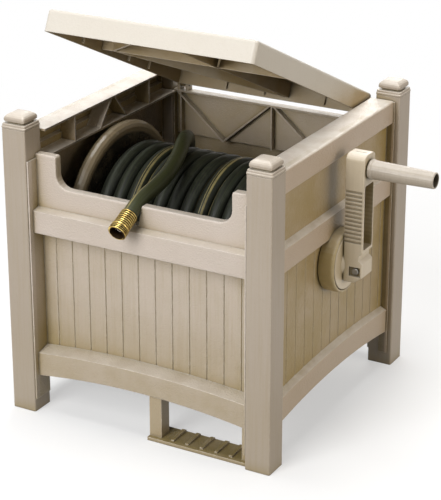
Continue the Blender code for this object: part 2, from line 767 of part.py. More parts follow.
def notch_outline(grow, low):
    """The tapered hose notch, from above the scoop down to `low`."""
    slope = (NOTCH_TOP_HALF - NOTCH_FLOOR_HALF) / (SCOOP_Z - NOTCH_FLOOR_Z)
    top = SCOOP_Z + 0.004
    top_half = NOTCH_TOP_HALF + slope * 0.004 + grow
    low_half = NOTCH_FLOOR_HALF + slope * (low - NOTCH_FLOOR_Z) + grow
    round_off = 0.003
    points = [(NOTCH_OFFSET_X + top_half, top), (NOTCH_OFFSET_X - top_half, top)]
    points += arc(NOTCH_OFFSET_X - low_half + round_off, low + round_off, round_off, 180, 270, 2)
    points += arc(NOTCH_OFFSET_X + low_half - round_off, low + round_off, round_off, 270, 360, 2)
    return points


def end_stiles(sign, top_z):
    """Thin plates at a front or rear panel's ends, which lie against the posts' inner faces."""
    solids = []
    for side in (-1, 1):
        outer, inner = side * END_HALF, side * (END_HALF - STILE_WALL)
        near = sign * (HALF_D - END_STILE_INSET)
        far = sign * (HALF_D - END_BEAD_INSET - PANEL_WALL + 0.0005)
        solids.append(box("stile", (min(outer, inner), min(near, far), STILE_LOW_Z),
                          (max(outer, inner), max(near, far), top_z)))
    return solids


def end_panel_wall(sign, top_path):
    """The bent wall of a front or rear panel, drawn in Y and Z and run along X."""
    bead = sign * (HALF_D - END_BEAD_INSET)
    rail = sign * (HALF_D - END_RAIL_INSET)
    path = [(bead, BEAD_LOW_Z), (bead, MID_RAIL_LOW_Z), (rail, MID_RAIL_LOW_Z),
            (rail, MID_RAIL_HIGH_Z)] + top_path
    section = wall_section(path, -sign * PANEL_WALL)
    run = END_HALF - STILE_PROUD
    wall = flat_solid("wall", [section], -run, run, "YZ")
    cut(wall, [bead_grooves(END_HALF, bead, sign, "X")])
    arch = arched_rail(run - STILE_PROUD / 2, rail, bead - sign * 0.0012, sign, "YZ")
    return combine(wall, [arch])


def make_front_panel():
    """Front panel: bead board, rails, scooped upper board, hose notch and end stiles."""
    board_face = -(HALF_D - END_BOARD_INSET)
    back = board_face + BOARD_DEPTH
    deep = 0.0022
    slope = END_LEDGE_RISE / (END_BOARD_INSET - END_RAIL_INSET)
    ledge_end = (board_face + deep, MID_RAIL_HIGH_Z + END_LEDGE_RISE + slope * deep)
    panel = end_panel_wall(-1, [ledge_end])
    board = flat_solid("board", [board_outline(0)], board_face, back, "XZ")
    edge_y = (board_face, back)

    def outer_rim(edge):
        a, b = edge.verts
        flat = abs(a.co.y - b.co.y) < 1e-6 and min(abs(a.co.y - y) for y in edge_y) < 1e-6
        high = min(a.co.z, b.co.z) > SCOOP_Z - 0.001
        sharp = len(edge.link_faces) == 2 and edge.calc_face_angle(0) > 1.2
        return flat and high and sharp
    round_edges(board, outer_rim, BOARD_EDGE, 2)
    hollow = flat_solid("hollow", [board_outline(PANEL_WALL)], board_face + PANEL_WALL,
                        back + 0.004, "XZ")
    liner = flat_solid("liner", [notch_outline(NOTCH_LIP, NOTCH_FLOOR_Z - NOTCH_LIP)],
                       board_face - 0.002, back + 0.006, "XZ")
    cut(hollow, [liner])
    cut(board, [hollow])
    combine(panel, [board] + end_stiles(-1, END_STILE_TOP_Z))
    notch = flat_solid("notch", [notch_outline(0, NOTCH_FLOOR_Z)], board_face - 0.006, back + 0.006, "XZ")
    cut(panel, [notch])
    finish(panel, "front_panel", TAUPE, frame_root)


def hinge_eye_outline(radius, foot):
    """A knuckle: a round eye about the hinge pin on a stem down to the given corners."""
    return arc(HINGE_Y, HINGE_Z, radius, 0, 180, 8) + foot


def make_rear_panel():
    """Rear panel: bead board, rails, upper board with truss ribs inside and the hinge ears."""
    board = HALF_D - END_BOARD_INSET
    lip = board - BOARD_DEPTH
    panel = end_panel_wall(1, [(board, MID_RAIL_HIGH_Z + END_LEDGE_RISE), (board, REAR_TOP_Z), (lip, REAR_TOP_Z)])
    rib_low = MID_RAIL_HIGH_Z + 0.001
    rib_high = REAR_TOP_Z - 0.001
    ribs = []
    for side in (-1, 1):
        ribs.append((side * REAR_RIB_TOP_X, rib_high, side * REAR_RIB_FOOT_X, rib_low))
        ribs.append((side * 0.002, rib_high, side * REAR_RIB_FOOT_X, rib_low))
        ribs.append((side * REAR_RIB_POST_X, rib_high, side * REAR_RIB_POST_X, rib_low))
    ribs.append((0, rib_high, 0, rib_low))
    solids = [flat_solid("rib", [bar(*rib, RIB_WALL)], lip + 0.0008, board - 0.001, "XZ") for rib in ribs]
    for side in (-1, 1):
        for step in (-1, 1):
            middle = side * HINGE_X + step * (HINGE_LUG_WIDTH + HINGE_EAR_WIDTH + 2 * HINGE_SIDE_GAP) / 2
            foot_z = REAR_TOP_Z - PANEL_WALL / 2
            foot = [(HINGE_Y - HINGE_EYE_RADIUS, foot_z), (HINGE_Y + HINGE_EYE_RADIUS, foot_z)]
            ear = flat_solid("ear", [hinge_eye_outline(HINGE_EYE_RADIUS, foot)],
                             middle - HINGE_EAR_WIDTH / 2, middle + HINGE_EAR_WIDTH / 2, "YZ")
            solids.append(ear)
    combine(panel, solids + end_stiles(1, REAR_TOP_Z))
    bores = [turned("bore", [(0, -0.02), (HINGE_PIN_RADIUS + HINGE_PIN_CLEARANCE, -0.02),
                             (HINGE_PIN_RADIUS + HINGE_PIN_CLEARANCE, 0.02), (0, 0.02)], 16, False,
                    centre=Vector((side * HINGE_X, HINGE_Y, HINGE_Z))) for side in (-1, 1)]
    cut(panel, [merge_loose("bores", bores)])
    finish(panel, "rear_panel", TAUPE, frame_root)


def inlet_screw_places():
    """Where the inlet plate's screws stand round the axis."""
    turns = [math.radians(90 + 360 * i / INLET_SCREW_COUNT) for i in range(INLET_SCREW_COUNT)]
    return [AXIS_POINT + INLET_SCREW_CIRCLE * Vector((0, math.cos(t), math.sin(t))) for t in turns]


def make_side_panel():
    """Right side panel: bead board, rails, inward top channel, ribs and the drum's bearing."""
    bead = HALF_W - SIDE_BEAD_INSET
    rail = HALF_W - SIDE_RAIL_INSET
    flange = HALF_W - SIDE_TOP_RAIL_REACH
    top_low = SIDE_TOP_Z - SIDE_TOP_RAIL_HEIGHT
    corner = PANEL_WALL + 0.0005
    path = [(bead, BEAD_LOW_Z), (bead, MID_RAIL_LOW_Z), (rail, MID_RAIL_LOW_Z), (rail, MID_RAIL_HIGH_Z),
            (bead, MID_RAIL_HIGH_Z + SIDE_LEDGE_RISE), (bead, top_low), (rail, top_low)]
    path += arc(rail - corner, SIDE_TOP_Z - corner, corner, 0, 90, 3)
    path.append((flange, SIDE_TOP_Z))
    section = wall_section(path, -PANEL_WALL)
    run = SIDE_HALF - STILE_PROUD
    panel = flat_solid("side", [section], -run, run, "XZ")
    cut(panel, [bead_grooves(SIDE_HALF, bead, 1, "Y")])
    arch = arched_rail(run - STILE_PROUD / 2, rail, bead - 0.0012, 1, "XZ")
    shelf_low, shelf_high = SHELF_Z, SHELF_Z + PANEL_WALL
    shelf_run = run - STILE_PROUD / 4
    shelf = box("shelf", (flange - 0.0002, -shelf_run, shelf_low), (bead - 0.001, shelf_run, shelf_high))
    rib_low, rib_high = shelf_high - 0.001, SIDE_TOP_Z - PANEL_WALL + 0.001
    ribs = [(-SIDE_RIB_Y, rib_low, -SIDE_RIB_Y, rib_high), (SIDE_RIB_Y, rib_low, SIDE_RIB_Y, rib_high),
            (-SIDE_TRUSS_HALF, rib_low, -0.0035, rib_high), (SIDE_TRUSS_HALF, rib_low, 0.0035, rib_high)]
    ribs = [flat_solid("rib", [bar(*rib, RIB_WALL)], flange + 0.0006, bead - 0.001, "YZ") for rib in ribs]
    stiles = []
    for side in (-1, 1):
        outer, inner = side * SIDE_HALF, side * (SIDE_HALF - STILE_WALL)
        stiles.append(box("stile", (bead - PANEL_WALL + 0.0005, min(outer, inner), STILE_LOW_Z),
                          (HALF_W - SIDE_STILE_INSET, max(outer, inner), SIDE_TOP_Z - 0.001)))
    bore = JOURNAL_RADIUS + RUNNING_GAP
    bearing = turned("bearing", [(bore + BEARING_WALL, bead - PANEL_WALL - BEARING_LENGTH),
                                 (bore + BEARING_WALL, bead - 0.001), (bore - 0.002, bead - 0.001),
                                 (bore - 0.002, bead - PANEL_WALL - BEARING_LENGTH)], 32)
    combine(panel, [merge_loose("stiles", stiles), arch, shelf, merge_loose("ribs", ribs), bearing])
    hole = turned("hole", [(0, bead - 0.04), (bore, bead - 0.04), (bore, bead + 0.02), (0, bead + 0.02)],
                  32, False)
    cut(panel, [hole])
    left = mirrored(panel, "left")
    clear = INLET_SCREW_RADIUS + FIT_GAP
    holes = [turned("hole", [(0, -bead - 0.004), (clear, -bead - 0.004), (clear, -bead + 0.008), (0, -bead + 0.008)],
                    12, False, centre=place) for place in inlet_screw_places()]
    cut(left, [merge_loose("holes", holes)])
    seat = box("seat", (bead - PANEL_WALL + 0.0005, -COVER_RADIUS * 0.8, MID_RAIL_LOW_Z + 0.001),
               (rail - 0.001, COVER_RADIUS * 0.8, AXIS_Z + COVER_RADIUS + 0.007))
    combine(panel, [seat])
    socket = COVER_RADIUS + FIT_GAP
    bite = turned("bite", [(0, bead + FIT_GAP / 2), (socket, bead + FIT_GAP / 2), (socket, rail + 0.01),
                           (0, rail + 0.01)], 36, False)
    cut(panel, [bite])
    finish(panel, "side_panel_right", TAUPE, frame_root)
    finish(left, "side_panel_left", TAUPE, frame_root)


def make_foot_step():
    """A stirrup at the front: two hollow uprights that rise into the arched rail, and a ribbed tread."""
    front = -(HALF_D - STEP_FRONT_INSET)
    tread = box("tread", (STEP_LEFT_X, front, 0), (END_HALF, front + STEP_DEPTH, STEP_TREAD_HEIGHT))
    solids = []
    hollows = []
    post_y = -(HALF_D - STEP_POST_INSET)
    right_x = END_HALF - STILE_WALL - FIT_GAP - STEP_RIGHT_WIDTH
    for x, width in ((STEP_LEFT_X, STEP_POST_WIDTH), (right_x, STEP_RIGHT_WIDTH)):
        solids.append(box("upright", (x, post_y, 0.001), (x + width, post_y + STEP_POST_DEPTH, STEP_POST_TOP_Z)))
        hollows.append(box("hollow", (x + STEP_POST_WALL, post_y + STEP_POST_WALL, STEP_TREAD_HEIGHT),
                           (x + width - STEP_POST_WALL,
                            post_y + STEP_POST_DEPTH - STEP_POST_WALL, STEP_POST_TOP_Z + 0.004)))
    rib_back = front + STEP_DEPTH - 0.001
    rib_front = rib_back - STEP_RIB_LENGTH
    crest = STEP_TREAD_HEIGHT + STEP_RIB_HEIGHT
    side_view = [(rib_front, 0.002), (rib_back, 0.002), (rib_back, crest - 0.002), (rib_back - 0.004, crest),
                 (rib_back - 0.012, crest - 0.0006), (rib_front, STEP_TREAD_HEIGHT + STEP_RIB_FRONT_HEIGHT)]
    for i in range(STEP_RIB_COUNT):
        x = STEP_RIB_FIRST_X + i * STEP_RIB_PITCH
        solids.append(flat_solid("rib", [side_view], x - STEP_RIB_WIDTH / 2, x + STEP_RIB_WIDTH / 2, "YZ"))
    combine(tread, solids)
    cut(tread, [merge_loose("hollows", hollows)])
    finish(tread, "foot_step", TAUPE, frame_root)


def lid_ribs():
    """The lattice under the lid and the short stiffeners along its side and rear walls."""
    low, high = LID_LOW_Z + LID_RIM_DEPTH, LID_LOW_Z + LID_HEIGHT - LID_WALL + 0.001
    ribs = [flat_solid("rib", [bar(*ends, LID_RIB_WALL)], low, high, "XY") for ends in LID_RIBS]
    stubs = []
    side_x = LID_WIDTH / 2 - LID_WALL
    for y in LID_STUB_Y:
        for side in (-1, 1):
            inner, outer = side * (side_x - LID_STUB_DEPTH), side * (side_x + 0.001)
            stubs.append(box("stub", (min(inner, outer), y - LID_RIB_WALL / 2, low - 0.002),
                             (max(inner, outer), y + LID_RIB_WALL / 2, high)))
    rear = LID_REAR_Y - LID_WALL
    for x in LID_STUB_X:
        stubs.append(box("stub", (x - LID_RIB_WALL / 2, rear - LID_STUB_DEPTH, low - 0.002),
                         (x + LID_RIB_WALL / 2, rear + 0.001, high)))
    return ribs + [merge_loose("stubs", stubs)]


def make_lid():
    """A shallow tray upside down, with a lattice of ribs inside and two hinge lugs behind."""
    middle_y = (LID_FRONT_Y + LID_REAR_Y) / 2
    length = LID_REAR_Y - LID_FRONT_Y
    high = LID_LOW_Z + LID_HEIGHT
    outline = rounded_rectangle(0, middle_y, LID_WIDTH, length, LID_CORNER_RADIUS, 4)
    lid = flat_solid("lid", [outline], LID_LOW_Z, high, "XY")

    def top_rim(edge):
        level = all(abs(v.co.z - high) < 1e-6 for v in edge.verts)
        return level and edge.calc_face_angle(0) > 1.2
    round_edges(lid, top_rim, LID_EDGE_RADIUS, 3)
    inner = rounded_rectangle(0, middle_y, LID_WIDTH - 2 * LID_WALL, length - 2 * LID_WALL,
                              LID_CORNER_RADIUS - LID_WALL, 2)
    recess = flat_solid("recess", [inner], LID_LOW_Z - 0.004, high - LID_WALL, "XY")
    cut(lid, [recess])
    combine(lid, lid_ribs())
    lugs = []
    for side in (-1, 1):
        low_x, high_x = side * HINGE_X - HINGE_LUG_WIDTH / 2, side * HINGE_X + HINGE_LUG_WIDTH / 2
        root = LID_REAR_Y - LID_WALL / 2
        outline = arc(HINGE_Y, HINGE_Z, HINGE_EYE_RADIUS, -100, 80, 8)
        outline += [(root, HINGE_Z + 0.010), (root, LID_LOW_Z + 0.0006)]
        lugs.append(flat_solid("lug", [outline], low_x, high_x, "YZ"))
    combine(lid, lugs)
    bore = HINGE_PIN_RADIUS + HINGE_PIN_CLEARANCE
    bores = [turned("bore", [(0, -0.01), (bore, -0.01), (bore, 0.01), (0, 0.01)], 16, False,
                    centre=Vector((side * HINGE_X, HINGE_Y, HINGE_Z))) for side in (-1, 1)]
    cut(lid, [merge_loose("bores", bores)])
    finish(lid, "lid", TAUPE_LID, lid_hinge)


def make_hinge_pins():
    """A headed pin through each hinge's ears and lug."""
    half = HINGE_LUG_WIDTH / 2 + HINGE_SIDE_GAP + HINGE_EAR_WIDTH + 0.001
    for side, name in ((-1, "left"), (1, "right")):
        head = half + FIT_GAP - 0.001
        profile = [(0, half), (HINGE_PIN_RADIUS, half), (HINGE_PIN_RADIUS, -head),
                   (HINGE_PIN_HEAD, -head), (HINGE_PIN_HEAD, -head - HINGE_HEAD_LENGTH),
                   (0, -head - HINGE_HEAD_LENGTH)]
        if side < 0:
            profile = [(r, -along) for r, along in profile]
        pin = turned("pin", profile, 16, False, centre=Vector((side * HINGE_X, HINGE_Y, HINGE_Z)))
        finish(pin, f"hinge_pin_{name}", STEEL, frame_root, 40)


def flange_profile():
    """Section of a flange: hub tube, plate and rolled rim, as (radius, distance out)."""
    inner, outer = DRUM_HALF, DRUM_HALF + FLANGE_WALL
    roll_r = FLANGE_RADIUS - FLANGE_ROLL_RADIUS
    roll_x = DRUM_HALF + FLANGE_ROLL_OUT
    skin = FLANGE_ROLL_RADIUS
    rim = [(roll_r + skin * math.sin(math.radians(a)), roll_x + skin * math.cos(math.radians(a)))
           for a in range(210, -1, -30)]
    core = skin - FLANGE_WALL
    back = [(roll_r + core * math.sin(math.radians(a)), roll_x + core * math.cos(math.radians(a)))
            for a in range(0, 211, 70)]
    hub_bore = JOURNAL_RADIUS - JOURNAL_WALL
    end = DRUM_HALF + JOURNAL_REACH
    return ([(hub_bore, inner), (roll_r - skin * 1.15, inner)] + rim + back
            + [(roll_r - skin * 1.15, outer), (JOURNAL_RADIUS, outer), (JOURNAL_RADIUS, end), (hub_bore, end)])


def make_flanges():
    """Two flanges with radial ribs on their outer faces and the journals that carry the drum."""
    flange = turned("flange", flange_profile(), FLANGE_STEPS)
    ribs = []
    outer = DRUM_HALF + FLANGE_WALL
    for i in range(FLANGE_RIB_COUNT):
        turn = Matrix.Rotation(2 * math.pi * (i + 0.5) / FLANGE_RIB_COUNT, 4, "X")
        rib = box("rib", (outer - 0.001, -RIB_WALL / 2, JOURNAL_RADIUS - 0.0015),
                  (outer + FLANGE_RIB_HEIGHT, RIB_WALL / 2, FLANGE_RADIUS - 0.021))
        rib.data.transform(Matrix.Translation(AXIS_POINT) @ turn)
        ribs.append(rib)
    combine(flange, ribs)
    left = mirrored(flange, "left")
    finish(flange, "drum_flange_right", DRUM, drum_axle, 35)
    finish(left, "drum_flange_left", DRUM, drum_axle, 35)


def make_barrel():
    """The drum's barrel between the flanges, with a hole where the water leaves it."""
    half = DRUM_HALF - FIT_GAP
    inner = BARREL_RADIUS - BARREL_WALL
    barrel = turned("barrel", [(BARREL_RADIUS, -half), (inner, -half), (inner, half), (BARREL_RADIUS, half)], 36)
    finish(barrel, "drum_barrel", DRUM, drum_axle, 40)


def make_hose_core():
    """The inner layers of hose, as one plain ring under the outer turns."""
    half = DRUM_HALF - CORE_END_GAP
    inner = BARREL_RADIUS + FIT_GAP
    core = turned("core", [(CORE_RADIUS, -half), (inner, -half), (inner, half), (CORE_RADIUS, half)], 40)
    finish(core, "hose_core", HOSE, drum_axle, 40)


def on_drum(radius, degrees, x):
    """A point round the drum: 0 degrees is the front, 90 the top and 180 the back."""
    t = math.radians(degrees)
    return Vector((x, -radius * math.cos(t), AXIS_Z + radius * math.sin(t)))


def ease(share):
    """A smooth step from 0 to 1."""
    return share * share * (3 - 2 * share)


WIND_START_X = DRUM_HALF - CORE_END_GAP - HOSE_RADIUS - WIND_GAP
WIND_END_X = WIND_START_X - HOSE_LANE * WIND_TURNS
WIND_END_DEG = 290.0
TAIL_START_DEG = WIND_END_DEG - CLIMB_DEG
TAIL_START_X = WIND_END_X - HOSE_LANE * CLIMB_DEG / 360


def hose_joint():
    """Where the wound hose becomes the free end, and which way it runs there."""
    place = on_drum(TAIL_RADIUS, TAIL_START_DEG, TAIL_START_X)
    behind = on_drum(TAIL_RADIUS, TAIL_START_DEG + 1, TAIL_START_X)
    ahead = on_drum(TAIL_RADIUS, TAIL_START_DEG - 1, TAIL_START_X)
    return place, (ahead - behind).normalized()


def winding_points():
    """Centre line of the outer layer: a helix from the right flange to the left one, then the
    climb on to it where the free end begins. The angle falls along the hose, so that it comes
    off the top of the drum towards the front."""
    count = int(WIND_TURNS * WIND_POINTS)
    start = WIND_END_DEG + 360 * WIND_TURNS
    lead = on_drum(WIND_RADIUS, start, WIND_START_X)
    first = on_drum(WIND_RADIUS, start - 360 / WIND_POINTS, WIND_START_X)
    back = (lead - first).normalized()
    points = [lead + back * 2 * HOSE_RADIUS]
    for i in range(count + 1):
        share = i / count
        points.append(on_drum(WIND_RADIUS, start - 360 * WIND_TURNS * share,
                              WIND_START_X + (WIND_END_X - WIND_START_X) * share))
    joint, way = hose_joint()
    straight = joint - way * 2 * HOSE_RADIUS
    top = (straight - AXIS_POINT).yz.length
    climb = CLIMB_DEG - math.degrees(math.atan2(2 * HOSE_RADIUS, TAIL_RADIUS))
    steps = round(climb / 360 * WIND_POINTS)
    for i in range(1, steps + 1):
        share = i / steps
        points.append(on_drum(WIND_RADIUS + (top - WIND_RADIUS) * ease(share), WIND_END_DEG - climb * share,
                              WIND_END_X + (TAIL_START_X - WIND_END_X) * share))
    points.append(joint - way * FIT_GAP / 2)
    return points


def least_self_gap(points, radius):
    """Least clear distance between turns: points further than half a turn along the hose."""
    least = 1.0
    skip = WIND_POINTS // 2
    for i, a in enumerate(points):
        for b in points[i + skip:i + skip + 2 * WIND_POINTS]:
            least = min(least, (a - b).length - 2 * radius)
    return least


make_posts_and_caps()
make_front_panel()
make_rear_panel()
make_side_panel()
make_foot_step()
make_lid()
make_hinge_pins()
make_flanges()
make_barrel()
make_hose_core()
wind = winding_points()
print("least gap between hose turns: %.2f mm" % (1000 * least_self_gap(wind, HOSE_RADIUS)))
finish(tube("winding", wind, HOSE_RADIUS, 1), "hose_winding", HOSE, drum_axle, 60)


def make_crank_cover():
    """The round housing on the crank side, a cup that the crank's disc turns in."""
    start = HALF_W - SIDE_BEAD_INSET + FIT_GAP
    end = start + COVER_LENGTH
    floor = end - COVER_CUP_DEPTH
    bore = JOURNAL_RADIUS + RUNNING_GAP
    lip = DISC_RADIUS + 2 * RUNNING_GAP
    profile = [(bore, start), (bore, floor), (lip, floor), (lip, end - 0.001), (lip + 0.001, end)]
    profile += [(COVER_RADIUS - COVER_EDGE * (1 - math.sin(math.radians(a))) * 0.45,
                 end - COVER_EDGE * (1 - math.cos(math.radians(a)))) for a in (15, 40, 65, 90)]
    profile += [(COVER_RADIUS, start + 0.0015), (COVER_RADIUS - 0.0015, start)]
    cover = turned("cover", profile, 36)
    finish(cover, "crank_cover", TAUPE, frame_root, 35)


def make_crank_shaft():
    """A plug in the drum's hub with a spigot for the crank, notched for the crank bolt."""
    step_x = DRUM_HALF + JOURNAL_REACH
    plug = JOURNAL_RADIUS - JOURNAL_WALL - FIT_GAP
    profile = [(0, SHAFT_INNER_X), (plug, SHAFT_INNER_X), (plug, step_x), (SHAFT_RADIUS, step_x),
               (SHAFT_RADIUS, SHAFT_OUTER_X - 0.001), (SHAFT_RADIUS - 0.001, SHAFT_OUTER_X),
               (0, SHAFT_OUTER_X)]
    shaft = turned("shaft", profile, 32, False)
    clear = BOLT_RADIUS + FIT_GAP
    notch = turned("notch", [(0, -0.03), (clear, -0.03), (clear, 0.03), (0, 0.03)], 16, False, "Y",
                   Vector((BOLT_X, 0, BOLT_Z)))
    cut(shaft, [notch])
    finish(shaft, "crank_shaft", STEEL, drum_axle, 35)


def make_crank_arm():
    """The crank: a disc in the housing, an arm with a ribbed channel and bolt and handle bores."""
    half = ARM_WIDTH / 2
    top = HANDLE_Z + ARM_TOP_OVER
    outline = [(-half, ARM_FOOT_Z + 0.003), (-half + 0.003, ARM_FOOT_Z), (half - 0.003, ARM_FOOT_Z),
               (half, ARM_FOOT_Z + 0.003)]
    outline += arc(half - ARM_TOP_RADIUS, top - ARM_TOP_RADIUS, ARM_TOP_RADIUS, 0, 90, 5)
    outline += arc(-half + ARM_TOP_RADIUS, top - ARM_TOP_RADIUS, ARM_TOP_RADIUS, 90, 180, 5)
    arm = flat_solid("arm", [outline], ARM_INNER_X, ARM_OUTER_X, "YZ")
    round_edges(arm, lambda e: abs(e.verts[0].co.x - e.verts[1].co.x) < 1e-6
                and e.calc_face_angle(0) > 1.2, 0.0012, 2)
    mouth = ARM_OUTER_X - ARM_CHANNEL_DEPTH
    channel = rounded_rectangle(0, (ARM_CHANNEL_LOW_Z + ARM_CHANNEL_HIGH_Z) / 2, ARM_CHANNEL_WIDTH,
                                ARM_CHANNEL_HIGH_Z - ARM_CHANNEL_LOW_Z, 0.003, 2)
    channel = flat_solid("channel", [channel], mouth, ARM_OUTER_X + 0.004, "YZ")
    foot = flat_solid("foot", [[(ARM_OUTER_X - ARM_FOOT_CHAMFER * 1.6, ARM_FOOT_Z - 0.002),
                                (ARM_OUTER_X + 0.002, ARM_FOOT_Z - 0.002),
                                (ARM_OUTER_X + 0.002, ARM_FOOT_Z + ARM_FOOT_CHAMFER)]],
                      -half - 0.004, half + 0.004, "XZ")
    notch = flat_solid("notch", [[(ARM_OUTER_X + 0.001, ARM_NOTCH_Z + ARM_NOTCH_HALF),
                                  (ARM_OUTER_X - ARM_NOTCH_DEPTH, ARM_NOTCH_Z + ARM_NOTCH_HALF * 0.35),
                                  (ARM_OUTER_X - ARM_NOTCH_DEPTH, ARM_NOTCH_Z - ARM_NOTCH_HALF * 0.35),
                                  (ARM_OUTER_X + 0.001, ARM_NOTCH_Z - ARM_NOTCH_HALF)]],
                       -half - 0.004, half + 0.004, "XZ")
    pocket = box("pocket", (BOLT_X - BOLT_POCKET_LENGTH / 2, -half - 0.004, BOLT_Z - BOLT_POCKET_HEIGHT / 2),
                 (BOLT_X + BOLT_POCKET_LENGTH / 2, -half + BOLT_POCKET_DEPTH, BOLT_Z + BOLT_POCKET_HEIGHT / 2))
    slit = box("slit", (ARM_INNER_X + 0.006, -ARM_SLIT_WIDTH / 2, top - ARM_SLIT_DEPTH),
               (ARM_INNER_X + 0.006 + ARM_SLIT_LENGTH, ARM_SLIT_WIDTH / 2, top + 0.004))
    cut(arm, [channel, foot, notch, merge_loose("pocket", [pocket, slit])])
    grooves = []
    for i in range(ARM_GROOVE_COUNT):
        z = ARM_GROOVE_LOW_Z + i * ARM_GROOVE_PITCH
        low, high = z - ARM_GROOVE_HEIGHT / 2, z + ARM_GROOVE_HEIGHT / 2
        inner = ARM_CHANNEL_WIDTH / 2
        for side in (-1, 1):
            deep = side * (half - ARM_GROOVE_DEPTH)
            skin = side * (half + 0.003)
            grooves.append(box("groove", (ARM_INNER_X - 0.002, min(deep, skin), low),
                               (ARM_OUTER_X - 0.0026, max(deep, skin), high)))
        grooves.append(box("groove", (mouth - ARM_GROOVE_DEPTH, -inner + 0.002, low),
                           (mouth + 0.002, inner - 0.002, high)))
    cut(arm, [merge_loose("grooves", grooves)])
    floor = HALF_W - SIDE_BEAD_INSET + FIT_GAP + COVER_LENGTH - COVER_CUP_DEPTH
    disc = turned("disc", [(0, floor + RUNNING_GAP), (DISC_RADIUS - 0.0008, floor + RUNNING_GAP),
                           (DISC_RADIUS, floor + RUNNING_GAP + 0.0008),
                           (DISC_RADIUS, floor + DISC_THICKNESS - 0.001),
                           (DISC_RADIUS - 0.001, floor + DISC_THICKNESS), (0, floor + DISC_THICKNESS)],
                  36, False)
    neck = turned("neck", [(0, floor + 0.002), (half + 0.006, floor + DISC_THICKNESS - 0.001),
                           (half - 0.0005, ARM_INNER_X + 0.003), (0, ARM_INNER_X + 0.004)], 32, False)
    combine(arm, [neck, disc])
    bore = SHAFT_RADIUS + FIT_GAP
    shaft = turned("bore", [(0, floor - 0.002), (bore, floor - 0.002), (bore, SHAFT_OUTER_X + FIT_GAP),
                            (0, SHAFT_OUTER_X + FIT_GAP)], 32, False)
    clear = BOLT_RADIUS + FIT_GAP
    bolt = turned("bolt", [(0, -half - 0.002), (clear, -half - 0.002), (clear, half - 0.004), (0, half - 0.004)],
                  16, False, "Y", Vector((BOLT_X, 0, BOLT_Z)))
    clear = HANDLE_PIN_RADIUS + FIT_GAP
    pin = turned("pin", [(0, ARM_INNER_X + 0.004), (clear, ARM_INNER_X + 0.004), (clear, ARM_OUTER_X + 0.002),
                         (0, ARM_OUTER_X + 0.002)], 20, False, "X", Vector((0, 0, HANDLE_Z)))
    cut(arm, [shaft, bolt, pin])
    finish(arm, "crank_arm", TAUPE, drum_axle, 35)


def make_crank_bolt():
    """The bolt across the crank's foot, its head in the pocket."""
    half = ARM_WIDTH / 2
    seat = -half + BOLT_POCKET_DEPTH - FIT_GAP
    profile = [(0, half - 0.004 - FIT_GAP), (BOLT_RADIUS, half - 0.004 - FIT_GAP), (BOLT_RADIUS, seat),
               (BOLT_HEAD_RADIUS, seat), (BOLT_HEAD_RADIUS, seat - BOLT_HEAD_LENGTH + 0.001),
               (BOLT_HEAD_RADIUS - 0.0012, seat - BOLT_HEAD_LENGTH), (0, seat - BOLT_HEAD_LENGTH)]
    bolt = turned("bolt", profile, 20, False, "Y", Vector((BOLT_X, 0, BOLT_Z)))
    finish(bolt, "crank_bolt", STEEL, drum_axle, 35)


def make_handle():
    """The spinning grip, hollow and open at its end, and the headed pin it turns on."""
    start, end = 0.0, HANDLE_LENGTH
    bore = HANDLE_PIN_RADIUS + HANDLE_PIN_CLEARANCE
    root, tip = HANDLE_ROOT_RADIUS, HANDLE_END_RADIUS
    profile = [(bore, start), (root - 0.0015, start), (root, start + 0.0015), (root, start + 0.005),
               (root - 0.0008, start + 0.0065), (tip, end - 0.004), (tip, end - 0.001), (tip - 0.0008, end),
               (tip - HANDLE_WALL, end), (tip - HANDLE_WALL, end - 0.006),
               (root - 0.0008 - HANDLE_WALL, start + HANDLE_WEB), (bore, start + HANDLE_WEB)]
    handle = turned("handle", profile, 24, centre=HANDLE_POINT)
    finish(handle, "crank_handle", TAUPE, handle_axle, 30)
    head = HANDLE_WEB + FIT_GAP
    inner = -ARM_THICKNESS + 0.004
    profile = [(0, inner), (HANDLE_PIN_RADIUS, inner), (HANDLE_PIN_RADIUS, head), (HANDLE_PIN_HEAD_RADIUS, head),
               (HANDLE_PIN_HEAD_RADIUS, head + HANDLE_PIN_HEAD_LENGTH - 0.0008),
               (HANDLE_PIN_HEAD_RADIUS - 0.0008, head + HANDLE_PIN_HEAD_LENGTH), (0, head + HANDLE_PIN_HEAD_LENGTH)]
    pin = turned("pin", profile, 24, False, centre=HANDLE_POINT)
    finish(pin, "handle_pin", STEEL, drum_axle, 35)


def make_elbow():
    """The turning water elbow: a sleeve in the left hub and a branch out to the barrel's hole."""
    outer = JOURNAL_RADIUS - JOURNAL_WALL - FIT_GAP
    mouth = DRUM_HALF + JOURNAL_REACH - 0.002
    profile = [(0, -ELBOW_INNER_X), (outer, -ELBOW_INNER_X), (outer, -mouth), (0, -mouth)]
    sleeve = turned("sleeve", profile, 32, False)
    reach = BARREL_RADIUS - BARREL_WALL - 2 * FIT_GAP
    tip = Vector((-ELBOW_BRANCH_X, 0, AXIS_Z))
    branch = turned("branch", [(0, 0), (ELBOW_BRANCH_RADIUS, 0), (ELBOW_BRANCH_RADIUS, reach - 0.0016), (0, reach - 0.0016)],
                    24, False, "Z", tip)
    combine(sleeve, [branch])
    drill = turned("drill", [(0, -ELBOW_INNER_X - ELBOW_WALL), (ELBOW_BORE, -ELBOW_INNER_X - ELBOW_WALL),
                             (ELBOW_BORE, -mouth - 0.002), (0, -mouth - 0.002)], 24, False)
    rise = turned("rise", [(0, 0), (ELBOW_BRANCH_BORE, 0), (ELBOW_BRANCH_BORE, reach + 0.004), (0, reach + 0.004)],
                  20, False, "Z", tip)
    cut(sleeve, [drill, rise])
    finish(sleeve, "water_elbow", BLACK, drum_axle, 35)


